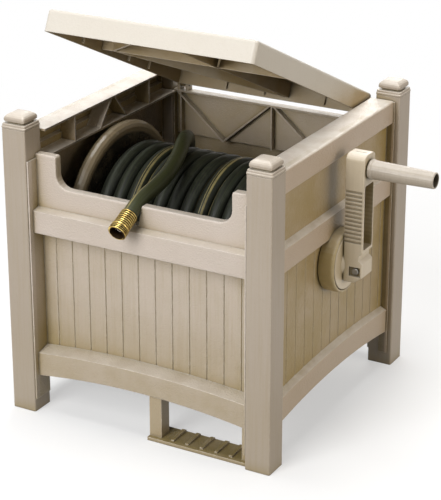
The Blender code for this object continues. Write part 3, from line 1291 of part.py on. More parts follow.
def make_inlet():
    """The fixed inlet tube with its plate and screws, two sealing rings, the nut and its washer."""
    plate = HALF_W - SIDE_BEAD_INSET + FIT_GAP
    behind = plate + INLET_PLATE_THICKNESS
    flare = INLET_OUTER_X - INLET_FLARE_LENGTH
    ring_x = [INLET_INNER_X + 0.005 + i * RING_SPACING for i in range(2)]
    grooves = []
    for x in ring_x:
        low, high = x - RING_GROOVE_WIDTH / 2, x + RING_GROOVE_WIDTH / 2
        grooves += [(INLET_RADIUS, -low), (RING_GROOVE_RADIUS, -low), (RING_GROOVE_RADIUS, -high), (INLET_RADIUS, -high)]
    profile = [(INLET_BORE, -INLET_INNER_X), (INLET_RADIUS, -INLET_INNER_X)] + grooves
    profile += [(INLET_RADIUS, -plate), (INLET_PLATE_RADIUS, -plate), (INLET_PLATE_RADIUS, -behind + 0.001),
                (INLET_PLATE_RADIUS - 0.001, -behind), (INLET_RADIUS, -behind), (INLET_RADIUS, -flare),
                (INLET_FLARE_RADIUS, -flare), (INLET_FLARE_RADIUS, -INLET_OUTER_X), (INLET_BORE, -INLET_OUTER_X)]
    inlet = turned("inlet", profile, 24)
    holes = []
    clear = INLET_SCREW_RADIUS + FIT_GAP
    for place in inlet_screw_places():
        holes.append(turned("hole", [(0, -plate + 0.004), (clear, -plate + 0.004), (clear, -behind - 0.004),
                                     (0, -behind - 0.004)], 12, False, centre=place))
    cut(inlet, [merge_loose("holes", holes)])
    finish(inlet, "inlet_tube", BLACK, frame_root, 35)
    for i, place in enumerate(inlet_screw_places()):
        top = -behind - FIT_GAP
        deep = -plate + PANEL_WALL + 0.004
        profile = [(0, deep), (INLET_SCREW_RADIUS, deep), (INLET_SCREW_RADIUS, top), (INLET_SCREW_HEAD_RADIUS, top),
                   (INLET_SCREW_HEAD_RADIUS, top - INLET_SCREW_HEAD_LENGTH + 0.001),
                   (INLET_SCREW_HEAD_RADIUS - 0.001, top - INLET_SCREW_HEAD_LENGTH), (0, top - INLET_SCREW_HEAD_LENGTH)]
        finish(turned("screw", profile, 10, False, centre=place), f"inlet_screw_{i + 1}", STEEL, frame_root, 35)
    for i, x in enumerate(ring_x):
        profile = circle(RING_RADIUS, -x, RING_SECTION, 6)
        finish(turned("ring", profile, 16), f"inlet_ring_{i + 1}", SEAL, frame_root, 60)
    nut_end = NUT_INNER_X + NUT_LENGTH
    outline = []
    for i in range(NUT_LOBES * 4):
        turn = 2 * math.pi * i / (NUT_LOBES * 4)
        radius = NUT_RADIUS - (0.0013 if i % 4 == 0 else 0)
        outline.append((radius * math.cos(turn), AXIS_Z + radius * math.sin(turn)))
    nut = flat_solid("nut", [outline], -nut_end, -NUT_INNER_X, "YZ")
    bore = turned("bore", [(0, -NUT_INNER_X - NUT_LIP), (NUT_BORE, -NUT_INNER_X - NUT_LIP),
                           (NUT_BORE, -nut_end - 0.002), (0, -nut_end - 0.002)], 32, False)
    neck = INLET_RADIUS + FIT_GAP
    throat = turned("throat", [(0, -NUT_INNER_X + 0.004), (neck, -NUT_INNER_X + 0.004),
                               (neck, -NUT_INNER_X - NUT_LIP - 0.001), (0, -NUT_INNER_X - NUT_LIP - 0.001)], 24, False)
    cut(nut, [bore, throat])
    finish(nut, "inlet_nut", BLACK, nut_axle, 25)
    low, high = INLET_OUTER_X + FIT_GAP, INLET_OUTER_X + FIT_GAP + WASHER_THICKNESS
    washer = turned("washer", [(INLET_BORE + 0.0005, -low), (NUT_BORE - FIT_GAP, -low), (NUT_BORE - FIT_GAP, -high),
                               (INLET_BORE + 0.0005, -high)], 28)
    finish(washer, "inlet_washer", SEAL, nut_axle, 35)


def tail_points():
    """Centre line of the free end: round the back and over the drum, out through the notch."""
    joint, way = hose_joint()
    used = math.degrees(math.atan2(2 * HOSE_RADIUS, TAIL_RADIUS))
    start = TAIL_START_DEG - used
    steps = round((start - TAIL_OFF_DEG) / TAIL_STEP_DEG)
    points = [joint + way * FIT_GAP / 2, joint + way * 2 * HOSE_RADIUS]
    over = TAIL_RADIUS * math.radians(start - TAIL_OFF_DEG)
    off = on_drum(TAIL_RADIUS, TAIL_OFF_DEG, 0).y
    settled = (over + off - TAIL_ROUTE[-1][0]) * TAIL_SETTLE

    def across(run):
        return TAIL_START_X + (NOTCH_OFFSET_X - TAIL_START_X) * ease(min(1, run / settled))

    for i in range(1, steps + 1):
        points.append(on_drum(TAIL_RADIUS, start + (TAIL_OFF_DEG - start) * i / steps, across(over * i / steps)))
    for y, z in TAIL_ROUTE:
        points.append(Vector((across(over + off - y), y, z)))
    return points


def make_tail():
    """The hose's free end, its ferrule and its threaded coupling."""
    route = tail_points()
    finish(tube("tail", route, HOSE_RADIUS, 2), "hose_tail", HOSE, frame_root, 60)
    end, before = route[-1], route[-2]
    way = (end - before).normalized()
    turn = Vector((0, 0, 1)).rotation_difference(way).to_matrix().to_4x4()
    place = Matrix.Translation(end) @ turn
    step = FERRULE_LENGTH / FERRULE_RIBS
    profile = [(HOSE_RADIUS - 0.003, FIT_GAP)]
    for i in range(FERRULE_RIBS):
        low = FIT_GAP + i * step
        profile += [(FERRULE_RADIUS, low), (FERRULE_RADIUS + FERRULE_RIB_HEIGHT, low + step * 0.5)]
    profile += [(FERRULE_RADIUS, FIT_GAP + FERRULE_LENGTH), (HOSE_RADIUS - 0.003, FIT_GAP + FERRULE_LENGTH)]
    ferrule = turned("ferrule", profile, 22, True, "Z", Vector((0, 0, 0)))
    ferrule.data.transform(place)
    finish(ferrule, "hose_ferrule", BRASS, frame_root, 25)
    low = FERRULE_LENGTH + 2 * FIT_GAP
    high = low + COUPLING_LENGTH
    collar = low + 0.0035
    profile = [(COUPLING_BORE, low), (COUPLING_RADIUS - 0.001, low), (COUPLING_RADIUS, low + 0.001),
               (COUPLING_RADIUS, collar - 0.001), (COUPLING_RADIUS - COUPLING_CREST, collar)]
    pitch = (high - collar - 0.001) / COUPLING_CRESTS
    for i in range(COUPLING_CRESTS):
        z = collar + 0.0005 + i * pitch
        profile += [(COUPLING_RADIUS - COUPLING_CREST, z), (COUPLING_RADIUS, z + pitch * 0.5)]
    profile += [(COUPLING_RADIUS - COUPLING_CREST, high - 0.0003), (COUPLING_RADIUS - COUPLING_CREST - 0.0005, high),
                (COUPLING_BORE, high)]
    coupling = turned("coupling", profile, 22, True, "Z", Vector((0, 0, 0)))
    coupling.data.transform(place)
    finish(coupling, "hose_coupling", BRASS, frame_root, 25)


make_crank_cover()
make_crank_shaft()
make_crank_arm()
make_crank_bolt()
make_handle()
make_elbow()
make_inlet()
make_tail()
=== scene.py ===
import math

import bpy
import numpy as np
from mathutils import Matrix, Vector


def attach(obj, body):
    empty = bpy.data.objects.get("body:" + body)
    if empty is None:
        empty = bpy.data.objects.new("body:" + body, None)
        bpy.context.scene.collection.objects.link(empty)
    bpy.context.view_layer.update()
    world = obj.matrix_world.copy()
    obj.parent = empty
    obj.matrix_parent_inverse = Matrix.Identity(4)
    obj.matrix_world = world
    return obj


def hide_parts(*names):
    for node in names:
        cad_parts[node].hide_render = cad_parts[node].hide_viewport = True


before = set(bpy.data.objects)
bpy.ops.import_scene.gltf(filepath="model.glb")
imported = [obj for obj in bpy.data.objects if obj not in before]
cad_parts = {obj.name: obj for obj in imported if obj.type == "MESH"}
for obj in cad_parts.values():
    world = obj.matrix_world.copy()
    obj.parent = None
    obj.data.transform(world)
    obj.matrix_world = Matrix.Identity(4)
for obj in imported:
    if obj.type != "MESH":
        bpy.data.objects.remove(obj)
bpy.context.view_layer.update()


# camera: a long lens a little above the box, on its front right corner; angles in degrees, the lens in
# millimetres, the rise in frame heights
cameraSet = {"place": (1.1566, -2.1277, 1.2153), "azimuth": 29.42, "elevation": 21.18, "lens": 131.0,
             "rise": -0.072}


def placeCamera(s):
    # it looks back along (sin a cos e, -cos a cos e, sin e), a the azimuth and e the elevation
    camera = bpy.data.cameras.new("box camera")
    camera.sensor_width = 36
    camera.lens = s["lens"]
    camera.shift_y = s["rise"]
    camera.clip_start, camera.clip_end = 0.05, 60
    holder = bpy.data.objects.new("box camera", camera)
    bpy.context.scene.collection.objects.link(holder)
    turn, tilt = math.radians(s["azimuth"]), math.radians(s["elevation"])
    back = Vector((math.sin(turn) * math.cos(tilt), -math.cos(turn) * math.cos(tilt), math.sin(tilt)))
    holder.location = s["place"]
    holder.rotation_euler = (-back).to_track_quat("-Z", "Y").to_euler()
    bpy.context.scene.camera = holder


placeCamera(cameraSet)
bpy.context.scene.view_settings.view_transform = "Standard"


# every new piece is a grid of points, rows along it and columns round it: rows are joined in order and columns
# close on themselves; ends "poles" closes the first and last row on their middles, "ring" joins the last row
# to the first; the map holds the share round (u) and rowMark (v)
def gridToMesh(name, grid, rowMark, ends="poles"):
    rows, columns = grid.shape[:2]
    points = grid.reshape(-1, 3)
    index = np.arange(rows * columns).reshape(rows, columns)
    following = np.roll(index, -1, axis=1)
    if ends == "ring":
        low, high = index, np.roll(index, -1, axis=0)
        lowNext, highNext = following, np.roll(following, -1, axis=0)
    else:
        low, high, lowNext, highNext = index[:-1], index[1:], following[:-1], following[1:]
    quads = np.stack([low, lowNext, highNext, high], axis=-1).reshape(-1, 4)
    faces = quads.tolist()

    share = np.arange(columns + 1) / columns
    left, right = share[:-1], share[1:]
    mark = np.append(rowMark, rowMark[-1] + (rowMark[-1] - rowMark[-2]))
    below, above = mark[:len(low)], mark[1:len(low) + 1]
    corners = (len(low), columns, 4)
    u = np.broadcast_to(np.stack([left, right, right, left], axis=-1), corners)
    v = np.broadcast_to(np.stack([below, below, above, above], axis=-1)[:, None, :], corners)
    places = np.stack([u, v], axis=-1).reshape(-1, 2)
    if ends == "poles":
        first, last = (following[0], index[0], right, left), (index[-1], following[-1], left, right)
        for pole, (a, b, uA, uB), height in ((0, first, rowMark[0]), (1, last, rowMark[-1])):
            faces += np.stack([a, b, np.full(columns, rows * columns + pole)], axis=-1).tolist()
            around = np.stack([uA, uB, (left + right) / 2], axis=-1).reshape(-1)
            places = np.vstack([places, np.stack([around, np.full(3 * columns, height)], axis=-1)])
        points = np.vstack([points, grid[0].mean(0), grid[-1].mean(0)])

    a, b, c, d = (points[quads[:, corner]] for corner in range(4))
    volume = (a * np.cross(b, c) + a * np.cross(c, d)).sum()
    mesh = bpy.data.meshes.new(name)
    mesh.from_pydata(points.tolist(), [], faces)
    layer = mesh.uv_layers.new(name="surfaceLines")
    layer.data.foreach_set("uv", places.astype(np.float32).ravel())
    if volume < 0:  # inside out
        mesh.flip_normals()
    mesh.polygons.foreach_set("use_smooth", np.ones(len(mesh.polygons), bool))
    mesh.validate()
    mesh.update()
    made = bpy.data.objects.new(name, mesh)
    bpy.context.scene.collection.objects.link(made)
    return made


def smoothLine(points, spacing):
    # cubic spans through the points: each point's slope is the slopes of its two spans, each weighted by the
    # length of the other one
    p = np.asarray(points, float)
    span = np.linalg.norm(np.diff(p, axis=0), axis=1)
    slope = np.diff(p, axis=0) / span[:, None]
    inner = (slope[1:] * span[:-1, None] + slope[:-1] * span[1:, None]) / (span[1:] + span[:-1])[:, None]
    slopes = np.vstack([slope[:1], inner, slope[-1:]])
    reach = np.concatenate([[0], np.cumsum(span)])
    t = np.linspace(0, reach[-1], max(3, int(round(reach[-1] / spacing)) + 1))
    k = np.clip(np.searchsorted(reach, t, side="right") - 1, 0, len(span) - 1)
    u = ((t - reach[k]) / span[k])[:, None]
    length = span[k][:, None]
    return ((2 * u**3 - 3 * u**2 + 1) * p[k] + (u**3 - 2 * u**2 + u) * length * slopes[k]
            + (3 * u**2 - 2 * u**3) * p[k + 1] + (u**3 - u**2) * length * slopes[k + 1])


def tubeGrid(line, radius, columns):
    # ring at each place of the line: centre + radius * (cos a * side + sin a * up), side as near to the drum's
    # axle as it can be, along the length run so far
    way = np.gradient(line, axis=0)
    way /= np.linalg.norm(way, axis=1)[:, None]
    axle = np.array([1.0, 0.0, 0.0])
    side = axle - (way @ axle)[:, None] * way
    side /= np.linalg.norm(side, axis=1)[:, None]
    up = np.cross(way, side)
    a = np.arange(columns) / columns * 2 * np.pi
    ring = np.cos(a)[None, :, None] * side[:, None, :] + np.sin(a)[None, :, None] * up[:, None, :]
    along = np.concatenate([[0], np.cumsum(np.linalg.norm(np.diff(line, axis=0), axis=1))])
    return line[:, None, :] + radius * ring, along


# the hose is one line, wound on the drum and led out at the front; degrees run from the front over the top, a
# lane is the room of one turn, and the free end's mark on the map starts after the wound part's
hoseSet = {
    "radius": 0.01075, "lane": 0.0221, "windRadius": 0.106, "turns": 12, "pointsPerTurn": 24,
    "windEndDegrees": 290.0, "climbDegrees": 75.0, "windStartX": 0.13505, "tailRadius": 0.1290,
    "tailOffDegrees": 83.0, "tailStepDegrees": 12.0, "tailSettle": 0.88, "notchX": -0.0112, "gap": 0.0003,
    "tailRoute": [(-0.045, 0.3618), (-0.075, 0.3581), (-0.105, 0.3544), (-0.135, 0.3507), (-0.158, 0.3475),
                  (-0.176, 0.3440), (-0.190, 0.3393), (-0.2047, 0.3326)],
    "lowerLayers": [(0.0874, 0.5, -1), (0.0688, 0.0, 1)],  # radius, start in lanes, winding direction
    "lowerPoints": 48, "lowerColumns": 14, "lowerThickness": 0.995,
    "columns": 20, "tailColumns": 24, "spacing": 0.0055, "tailMark": 8.4,
}
axleHeight = 0.238
middleX = 0.0566  # the box stands this far to the left of the model's middle, because the crank sticks out


def onDrum(radius, degrees, x):
    # (x - middle, -radius * cos t, axle height + radius * sin t), whole arrays at once
    t = np.radians(degrees)
    across = np.asarray(x, float) - middleX
    height = axleHeight + radius * np.sin(t)
    return np.stack(np.broadcast_arrays(across, -radius * np.cos(t), height), axis=-1)


def easeStep(share):
    # 0 to 1 with level ends: t * t * (3 - 2 t)
    return share * share * (3 - 2 * share)


def evenSteps(count):
    # 1 / count, 2 / count and so on up to 1
    return np.arange(1, count + 1) / count


def hoseLines(s):
    # centre lines of the wound part and of the free end, in world metres, at the solid's own points; the free
    # end moves across the drum by easeStep(path run / settled run)
    endX = s["windStartX"] - s["lane"] * s["turns"]
    tailDegrees = s["windEndDegrees"] - s["climbDegrees"]
    tailX = endX - s["lane"] * s["climbDegrees"] / 360
    joint = onDrum(s["tailRadius"], tailDegrees, tailX)
    way = onDrum(s["tailRadius"], tailDegrees - 1, tailX) - onDrum(s["tailRadius"], tailDegrees + 1, tailX)
    way /= np.linalg.norm(way)
    # both parts leave the joint straight, by one hose width
    straight = math.degrees(math.atan2(2 * s["radius"], s["tailRadius"]))

    # wound: a short lead, the helix, and the climb onto its own turns
    share = np.arange(s["turns"] * s["pointsPerTurn"] + 1) / (s["turns"] * s["pointsPerTurn"])
    degrees = s["windEndDegrees"] + 360 * s["turns"] - 360 * s["turns"] * share
    helix = onDrum(s["windRadius"], degrees, s["windStartX"] + (endX - s["windStartX"]) * share)
    back = helix[0] - helix[1]
    lead = helix[0] + back / np.linalg.norm(back) * 2 * s["radius"]
    top = joint - way * 2 * s["radius"]
    topRadius = np.hypot(top[1], top[2] - axleHeight)
    climb = s["climbDegrees"] - straight
    steps = evenSteps(round(climb / 360 * s["pointsPerTurn"]))
    riseRadius = s["windRadius"] + (topRadius - s["windRadius"]) * easeStep(steps)
    rise = onDrum(riseRadius, s["windEndDegrees"] - climb * steps, endX + (tailX - endX) * steps)
    wound = np.vstack([lead, helix, rise, joint - way * s["gap"] / 2])

    # free: over the winding, then along its route to the notch
    begin = tailDegrees - straight
    steps = evenSteps(round((begin - s["tailOffDegrees"]) / s["tailStepDegrees"]))
    overRun = s["tailRadius"] * math.radians(begin - s["tailOffDegrees"])
    route = np.array(s["tailRoute"])
    offY = -s["tailRadius"] * math.cos(math.radians(s["tailOffDegrees"]))
    settled = (overRun + offY - route[-1, 0]) * s["tailSettle"]

    def across(run):
        return tailX + (s["notchX"] - tailX) * easeStep(np.minimum(1, run / settled))

    over = onDrum(s["tailRadius"], begin + (s["tailOffDegrees"] - begin) * steps, across(overRun * steps))
    out = np.column_stack([across(overRun + offY - route[:, 0]) - middleX, route])
    free = np.vstack([joint + way * s["gap"] / 2, joint + way * 2 * s["radius"], over, out])
    return wound, free, joint


def lowerTurns(s):
    # two layers under the outer one: plain helices, x = start - lane * turn, in the valleys of the one above
    for radius, offset, direction in s["lowerLayers"]:
        turns = s["turns"] - (1 if offset else 0)
        share = np.linspace(0, 1, turns * s["lowerPoints"] + 1)
        x = s["windStartX"] - s["lane"] * (offset + turns * share)
        line = onDrum(radius, s["windEndDegrees"] - 360 * turns * share, x[::direction])
        yield tubeGrid(line, s["radius"] * s["lowerThickness"], s["lowerColumns"])


def makeHose(s):
    # each part is a tube along its smoothed line, and they meet face to face at the joint
    wound, free, joint = hoseLines(s)
    woundLine = smoothLine(wound, s["spacing"])
    grid, along = tubeGrid(woundLine, s["radius"], s["columns"])
    turns = gridToMesh("wound_hose", grid, along)
    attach(turns, "drum")
    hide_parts("hose_winding")
    print("hose: %.2f m wound in the outer layer" % along[-1])

    layers, mark = [], 0.0
    for number, (grid, along) in enumerate(lowerTurns(s)):
        layer = gridToMesh(f"lower_hose_layer_{number + 1}", grid, along + mark)
        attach(layer, "drum")
        layers.append(layer)
        mark += along[-1] + 0.3  # so that the stripes of the two layers don't match
    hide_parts("hose_core")

    freeLine = smoothLine(free, s["spacing"] / 2)
    grid, along = tubeGrid(freeLine, s["radius"], s["tailColumns"])
    tail = gridToMesh("free_hose_end", grid, along + s["tailMark"])
    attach(tail, "box_frame")
    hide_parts("hose_tail")
    print("hose: free end %.3f m" % along[-1])
    return turns, layers, tail, freeLine, joint, float(along[-1])


woundHose, lowerHose, freeHose, freeLine, hoseJoint, freeLength = makeHose(hoseSet)


# brass end: a crimped ferrule and a male garden thread; edge is the length that a rounded edge takes, shoulder
# the shares of the radius that round it off, and runIn and runOut are where the thread fades at its ends
ferruleSet = {"radius": 0.0101, "length": 0.0245, "ribs": 7, "ribHeight": 0.0022, "rowsPerRib": 18,
              "edge": 0.0003, "shoulder": (0.62, 0.86, 0.97), "flats": 8, "flatDepth": 0.00006, "columns": 72,
              "gap": 0.0003}
threadSet = {"radius": 0.01335, "crest": 0.0017, "length": 0.0125, "bore": 0.0102, "boreDepth": 0.006,
             "pitch": 0.0027, "runIn": 0.0009, "runOut": 0.0007, "collar": 0.0032, "knurls": 6,
             "knurlDepth": 0.00012, "threadRows": 72, "columns": 96, "gap": 0.0003}
ferruleEnd = ferruleSet["gap"] + ferruleSet["length"]
threadFoot = ferruleEnd + threadSet["gap"]


def alongEnd(line):
    # the end's place, its way, and two directions across the hose's last stretch
    way = line[-1] - line[-4]
    way /= np.linalg.norm(way)
    side = np.array([1.0, 0.0, 0.0]) - way[0] * way
    side /= np.linalg.norm(side)
    return line[-1], way, side, np.cross(way, side)


def turnedGrid(end, stations, radius):
    # end + station * way + radius * (cos a * side + sin a * up); one station a row, one radius for each place
    place, way, side, up = end
    a = np.arange(radius.shape[1]) / radius.shape[1] * 2 * np.pi
    across = np.cos(a)[None, :, None] * side + np.sin(a)[None, :, None] * up
    return place + stations[:, None, None] * way + radius[..., None] * across


def makeFerrule(s, end):
    # a sleeve in round ribs with sharp hollows: r = radius + height * |sin(ribs * pi * z)|^0.9, with faint
    # flats from the crimping tool
    z = np.linspace(0, 1, s["ribs"] * s["rowsPerRib"] + 1)
    wave = np.abs(np.sin(z * s["ribs"] * np.pi)) ** 0.9
    a = np.arange(s["columns"]) / s["columns"] * 2 * np.pi
    flats = s["flatDepth"] * np.cos(a * s["flats"])
    body = s["radius"] + s["ribHeight"] * wave[:, None] + flats[None, :] * (0.4 + 0.6 * wave[:, None])
    shoulder = np.array(s["shoulder"])[:, None]
    rows = np.vstack([shoulder * body[0], body, shoulder[::-1] * body[-1]])
    edge, length = s["edge"], s["length"]
    start, finish = np.array([0, 0, 2 / 3]) * edge, length - np.array([2 / 3, 0, 0]) * edge
    stations = s["gap"] + np.concatenate([start, edge + z * (length - 2 * edge), finish])
    made = gridToMesh("crimped_ferrule", turnedGrid(end, stations, rows), stations)
    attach(made, "box_frame")
    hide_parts("hose_ferrule")
    return made


def makeThread(s, end):
    # collar, then a screw thread: r = radius - crest + crest * wave(distance / pitch - angle), wave a clipped
    # cosine that fades in and out at its ends; back through the bore, so the rows run round the wall's section
    share = np.arange(s["columns"]) / s["columns"]
    low = threadFoot
    high, collarEnd = low + s["length"], low + s["collar"]
    outer, root, bore = s["radius"], s["radius"] - s["crest"], s["bore"]
    z = np.linspace(collarEnd + 0.0004, high - 0.0005, s["threadRows"])
    phase = (z[:, None] - low) / s["pitch"] - share[None, :]
    wave = np.clip(0.46 + 0.80 * np.cos(phase * 2 * np.pi), 0, 1)
    fade = np.clip((z - z[0]) / s["runIn"], 0, 1) * np.clip((z[-1] - z) / s["runOut"] + 0.25, 0, 1)
    thread = root + s["crest"] * wave * fade[:, None]

    # rings before and after the thread, each a place along the hose's way and a radius
    collar = np.array([(low, bore), (low, outer - 0.0014), (low + 0.0003, outer - 0.0004),
                       (low + 0.0008, outer), (collarEnd - 0.0006, outer),
                       (collarEnd - 0.0001, outer - 0.0005), (collarEnd + 0.0002, root)])
    mouth = np.array([(high - 0.0002, root - 0.0002), (high, root - 0.0007), (high, bore + 0.0004),
                      (high - 0.0004, bore), (high - s["boreDepth"], bore)])
    knurled = (collar[:, 1:] == outer) * s["knurlDepth"] * (np.cos(share * 2 * np.pi * s["knurls"]) - 1)
    radius = np.vstack([collar[:, 1:] + knurled, thread, np.repeat(mouth[:, 1:], s["columns"], axis=1)])
    stations = np.concatenate([collar[:, 0], z, mouth[:, 0]])
    marks = stations.copy()
    marks[-2:] = 2.0  # the bore's wall, past every thread
    made = gridToMesh("threaded_hose_end", turnedGrid(end, stations, radius), marks, ends="ring")
    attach(made, "box_frame")
    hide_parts("hose_coupling")
    return made


hoseEnd = alongEnd(freeLine)
ferrule = makeFerrule(ferruleSet, hoseEnd)
thread = makeThread(threadSet, hoseEnd)
print("hose end: ferrule and thread made")


# small tools for node trees
def addNode(tree, kind, **settings):
    node = tree.nodes.new("ShaderNode" + kind)
    for key, value in settings.items():
        setattr(node, key, value)
    return node


def feed(tree, socket, value):
    # a number or a colour is written on the socket, anything else is linked to it
    if isinstance(value, (int, float)):
        socket.default_value = value
    elif isinstance(value, tuple):
        socket.default_value = (*value, 1.0)
    else:
        tree.links.new(value, socket)


def joinMath(tree, operation, first, second=None, third=None, clamp=False):
    node = addNode(tree, "Math", operation=operation, use_clamp=clamp)
    for socket, value in zip(node.inputs, (first, second, third)):
        if value is not None:
            feed(tree, socket, value)
    return node.outputs[0]


def times(tree, first, second):
    return joinMath(tree, "MULTIPLY", first, second)


def minus(tree, first, second):
    return joinMath(tree, "SUBTRACT", first, second)


def size(tree, value):
    # the value without its sign
    return joinMath(tree, "ABSOLUTE", value)


def spread(tree, value, low, high, toLow=0.0, toHigh=1.0):
    # smooth step from low to high
    node = addNode(tree, "MapRange", interpolation_type="SMOOTHSTEP")
    names = ("Value", "From Min", "From Max", "To Min", "To Max")
    for name, number in zip(names, (value, low, high, toLow, toHigh)):
        feed(tree, node.inputs[name], number)
    return node.outputs["Result"]


def objectPlace(tree):
    return addNode(tree, "TexCoord").outputs["Object"]


def partsOf(tree, vector):
    node = addNode(tree, "SeparateXYZ")
    feed(tree, node.inputs[0], vector)
    return node.outputs


def faceWay(tree):
    return partsOf(tree, addNode(tree, "NewGeometry").outputs["Normal"])


def lineMap(tree):
    return partsOf(tree, addNode(tree, "UVMap", uv_map="surfaceLines").outputs["UV"])


def noiseAt(tree, place, scale, detail=2.0, rough=0.5):
    node = addNode(tree, "TexNoise")
    for name, value in (("Vector", place), ("Scale", scale), ("Detail", detail), ("Roughness", rough)):
        feed(tree, node.inputs[name], value)
    return node.outputs["Fac"]


def startGroup(name, inputs, outputs):
    # inputs hold a name, its value, and its lowest and highest value
    group = bpy.data.node_groups.new(name, "ShaderNodeTree")
    for label, value, low, high in inputs:
        socket = group.interface.new_socket(name=label, in_out="INPUT", socket_type="NodeSocketFloat")
        socket.default_value, socket.min_value, socket.max_value = value, low, high
    for label in outputs:
        kind = "NodeSocketVector" if label == "Normal" else "NodeSocketFloat"
        group.interface.new_socket(name=label, in_out="OUTPUT", socket_type=kind)
    return group, group.nodes.new("NodeGroupInput").outputs, group.nodes.new("NodeGroupOutput").inputs


def giveOut(group, out, **values):
    for name, value in values.items():
        feed(group, out[name], value)
    return group


# pebbled grain of the mould, slow cloudy unevenness of the plastic, dark specks, upright wood-like streaks
def buildMouldedGrain():
    group, into, out = startGroup(
        "moulded grain", [("Grain Size", 0.0016, 0.0002, 0.02), ("Cloud Size", 0.09, 0.005, 1.0)],
        ["Height", "Clouds", "Specks", "Streaks"])
    place = objectPlace(group)
    scale = joinMath(group, "DIVIDE", 1.0, into["Grain Size"])
    cells = addNode(group, "TexVoronoi", feature="SMOOTH_F1")
    cells.inputs["Smoothness"].default_value = 0.6
    feed(group, cells.inputs["Vector"], place)
    feed(group, cells.inputs["Scale"], scale)
    fine = noiseAt(group, place, times(group, scale, 1.7), 2.0, 0.6)
    height = joinMath(group, "MULTIPLY_ADD", fine, 0.55, times(group, cells.outputs["Distance"], 0.8))
    clouds = noiseAt(group, place, joinMath(group, "DIVIDE", 1.0, into["Cloud Size"]), 3.0, 0.55)
    specks = spread(group, noiseAt(group, place, 900.0, 1.0), 0.66, 0.74)
    upright = addNode(group, "Mapping")
    upright.inputs["Scale"].default_value = (260.0, 260.0, 9.0)
    feed(group, upright.inputs["Vector"], place)
    streaks = spread(group, noiseAt(group, upright.outputs["Vector"], 1.0, 3.0, 0.6), 0.40, 0.70)
    return giveOut(group, out, Height=height, Clouds=clouds, Specks=specks, Streaks=streaks)


# rounds sharp moulded edges for the light, and paints a paler tone along them: rubbed wear and a painted
# highlight
def buildSoftEdges():
    group, into, out = startGroup("soft edges", [("Radius", 0.0012, 0.0, 0.01)], ["Normal", "Rub"])
    rounded = addNode(group, "Bevel", samples=6)
    feed(group, rounded.inputs["Radius"], into["Radius"])
    dot = addNode(group, "VectorMath", operation="DOT_PRODUCT")
    feed(group, dot.inputs[0], rounded.outputs["Normal"])
    feed(group, dot.inputs[1], addNode(group, "NewGeometry").outputs["Normal"])
    rub = spread(group, dot.outputs["Value"], 0.999, 0.86)
    broken = spread(group, noiseAt(group, objectPlace(group), 140.0, 4.0, 0.65), 0.35, 0.7, 0.35, 1.0)
    return giveOut(group, out, Normal=rounded.outputs["Normal"], Rub=times(group, rub, broken))


# painted shade with some dirt where surfaces meet and near them, thinner in patches, a mask of what faces up
# for pale dust and painted light, and a mask of what faces down, for painted shade under things
def buildCornerGrime():
    group, into, out = startGroup(
        "corner grime", [("Reach", 0.012, 0.001, 0.2), ("Patch Size", 0.03, 0.002, 0.5),
                         ("Start", 0.1, 0.0, 1.0), ("Full", 0.6, 0.0, 1.0)], ["Grime", "Dust", "Underside"])
    near = addNode(group, "AmbientOcclusion", samples=8)
    feed(group, near.inputs["Distance"], into["Reach"])
    hidden = joinMath(group, "SUBTRACT", 1.0, near.outputs["AO"], clamp=True)
    patches = noiseAt(group, objectPlace(group), joinMath(group, "DIVIDE", 1.0, into["Patch Size"]), 5.0, 0.6)
    corners = spread(group, hidden, into["Start"], into["Full"])
    grime = times(group, corners, spread(group, patches, 0.25, 0.65, 0.6, 1.0))
    upward = faceWay(group)["Z"]
    # painted light: faces that look up are made paler, partly as pale dust
    dust = times(group, spread(group, upward, 0.3, 0.9), spread(group, patches, 0.3, 0.65, 0.55, 1.0))
    return giveOut(group, out, Grime=grime, Dust=dust, Underside=spread(group, upward, -0.2, -0.6))


# extruded hose: a broad and a thin stripe that wander round it, faint drawn streaks along it, and scuffs
def buildHoseSkin():
    group, into, out = startGroup(
        "hose skin", [("Stripe Turn", 0.4, -20.0, 20.0), ("Stripe Start", 0.2, -1.0, 1.0)],
        ["Stripe", "Streaks", "Scuffs", "Height"])
    around, along = lineMap(group)[:2]
    begun = joinMath(group, "ADD", around, into["Stripe Start"])
    turning = joinMath(group, "MULTIPLY_ADD", along, into["Stripe Turn"], begun)
    offset = minus(group, joinMath(group, "FRACT", turning), 0.5)
    broad = spread(group, size(group, offset), 0.026, 0.019)
    thin = spread(group, size(group, minus(group, offset, 0.060)), 0.008, 0.005)
    wear = spread(group, noiseAt(group, objectPlace(group), 60.0, 4.0, 0.7), 0.3, 0.6, 0.45, 1.0)
    stripe = times(group, joinMath(group, "MAXIMUM", times(group, broad, 0.8), thin), wear)
    drawn = addNode(group, "CombineXYZ")
    angle = times(group, around, 2 * math.pi)
    feed(group, drawn.inputs["X"], times(group, joinMath(group, "SINE", angle), 6.0))
    feed(group, drawn.inputs["Y"], times(group, joinMath(group, "COSINE", angle), 6.0))
    feed(group, drawn.inputs["Z"], times(group, along, 3.0))
    streaks = noiseAt(group, drawn.outputs[0], 1.6, 3.0, 0.6)
    scuffs = spread(group, noiseAt(group, objectPlace(group), 95.0, 5.0, 0.7), 0.52, 0.68)
    weave = joinMath(group, "SINE", times(group, along, 2100.0))
    height = joinMath(group, "MULTIPLY_ADD", weave, 0.06, streaks)
    return giveOut(group, out, Stripe=stripe, Streaks=streaks, Scuffs=scuffs, Height=height)
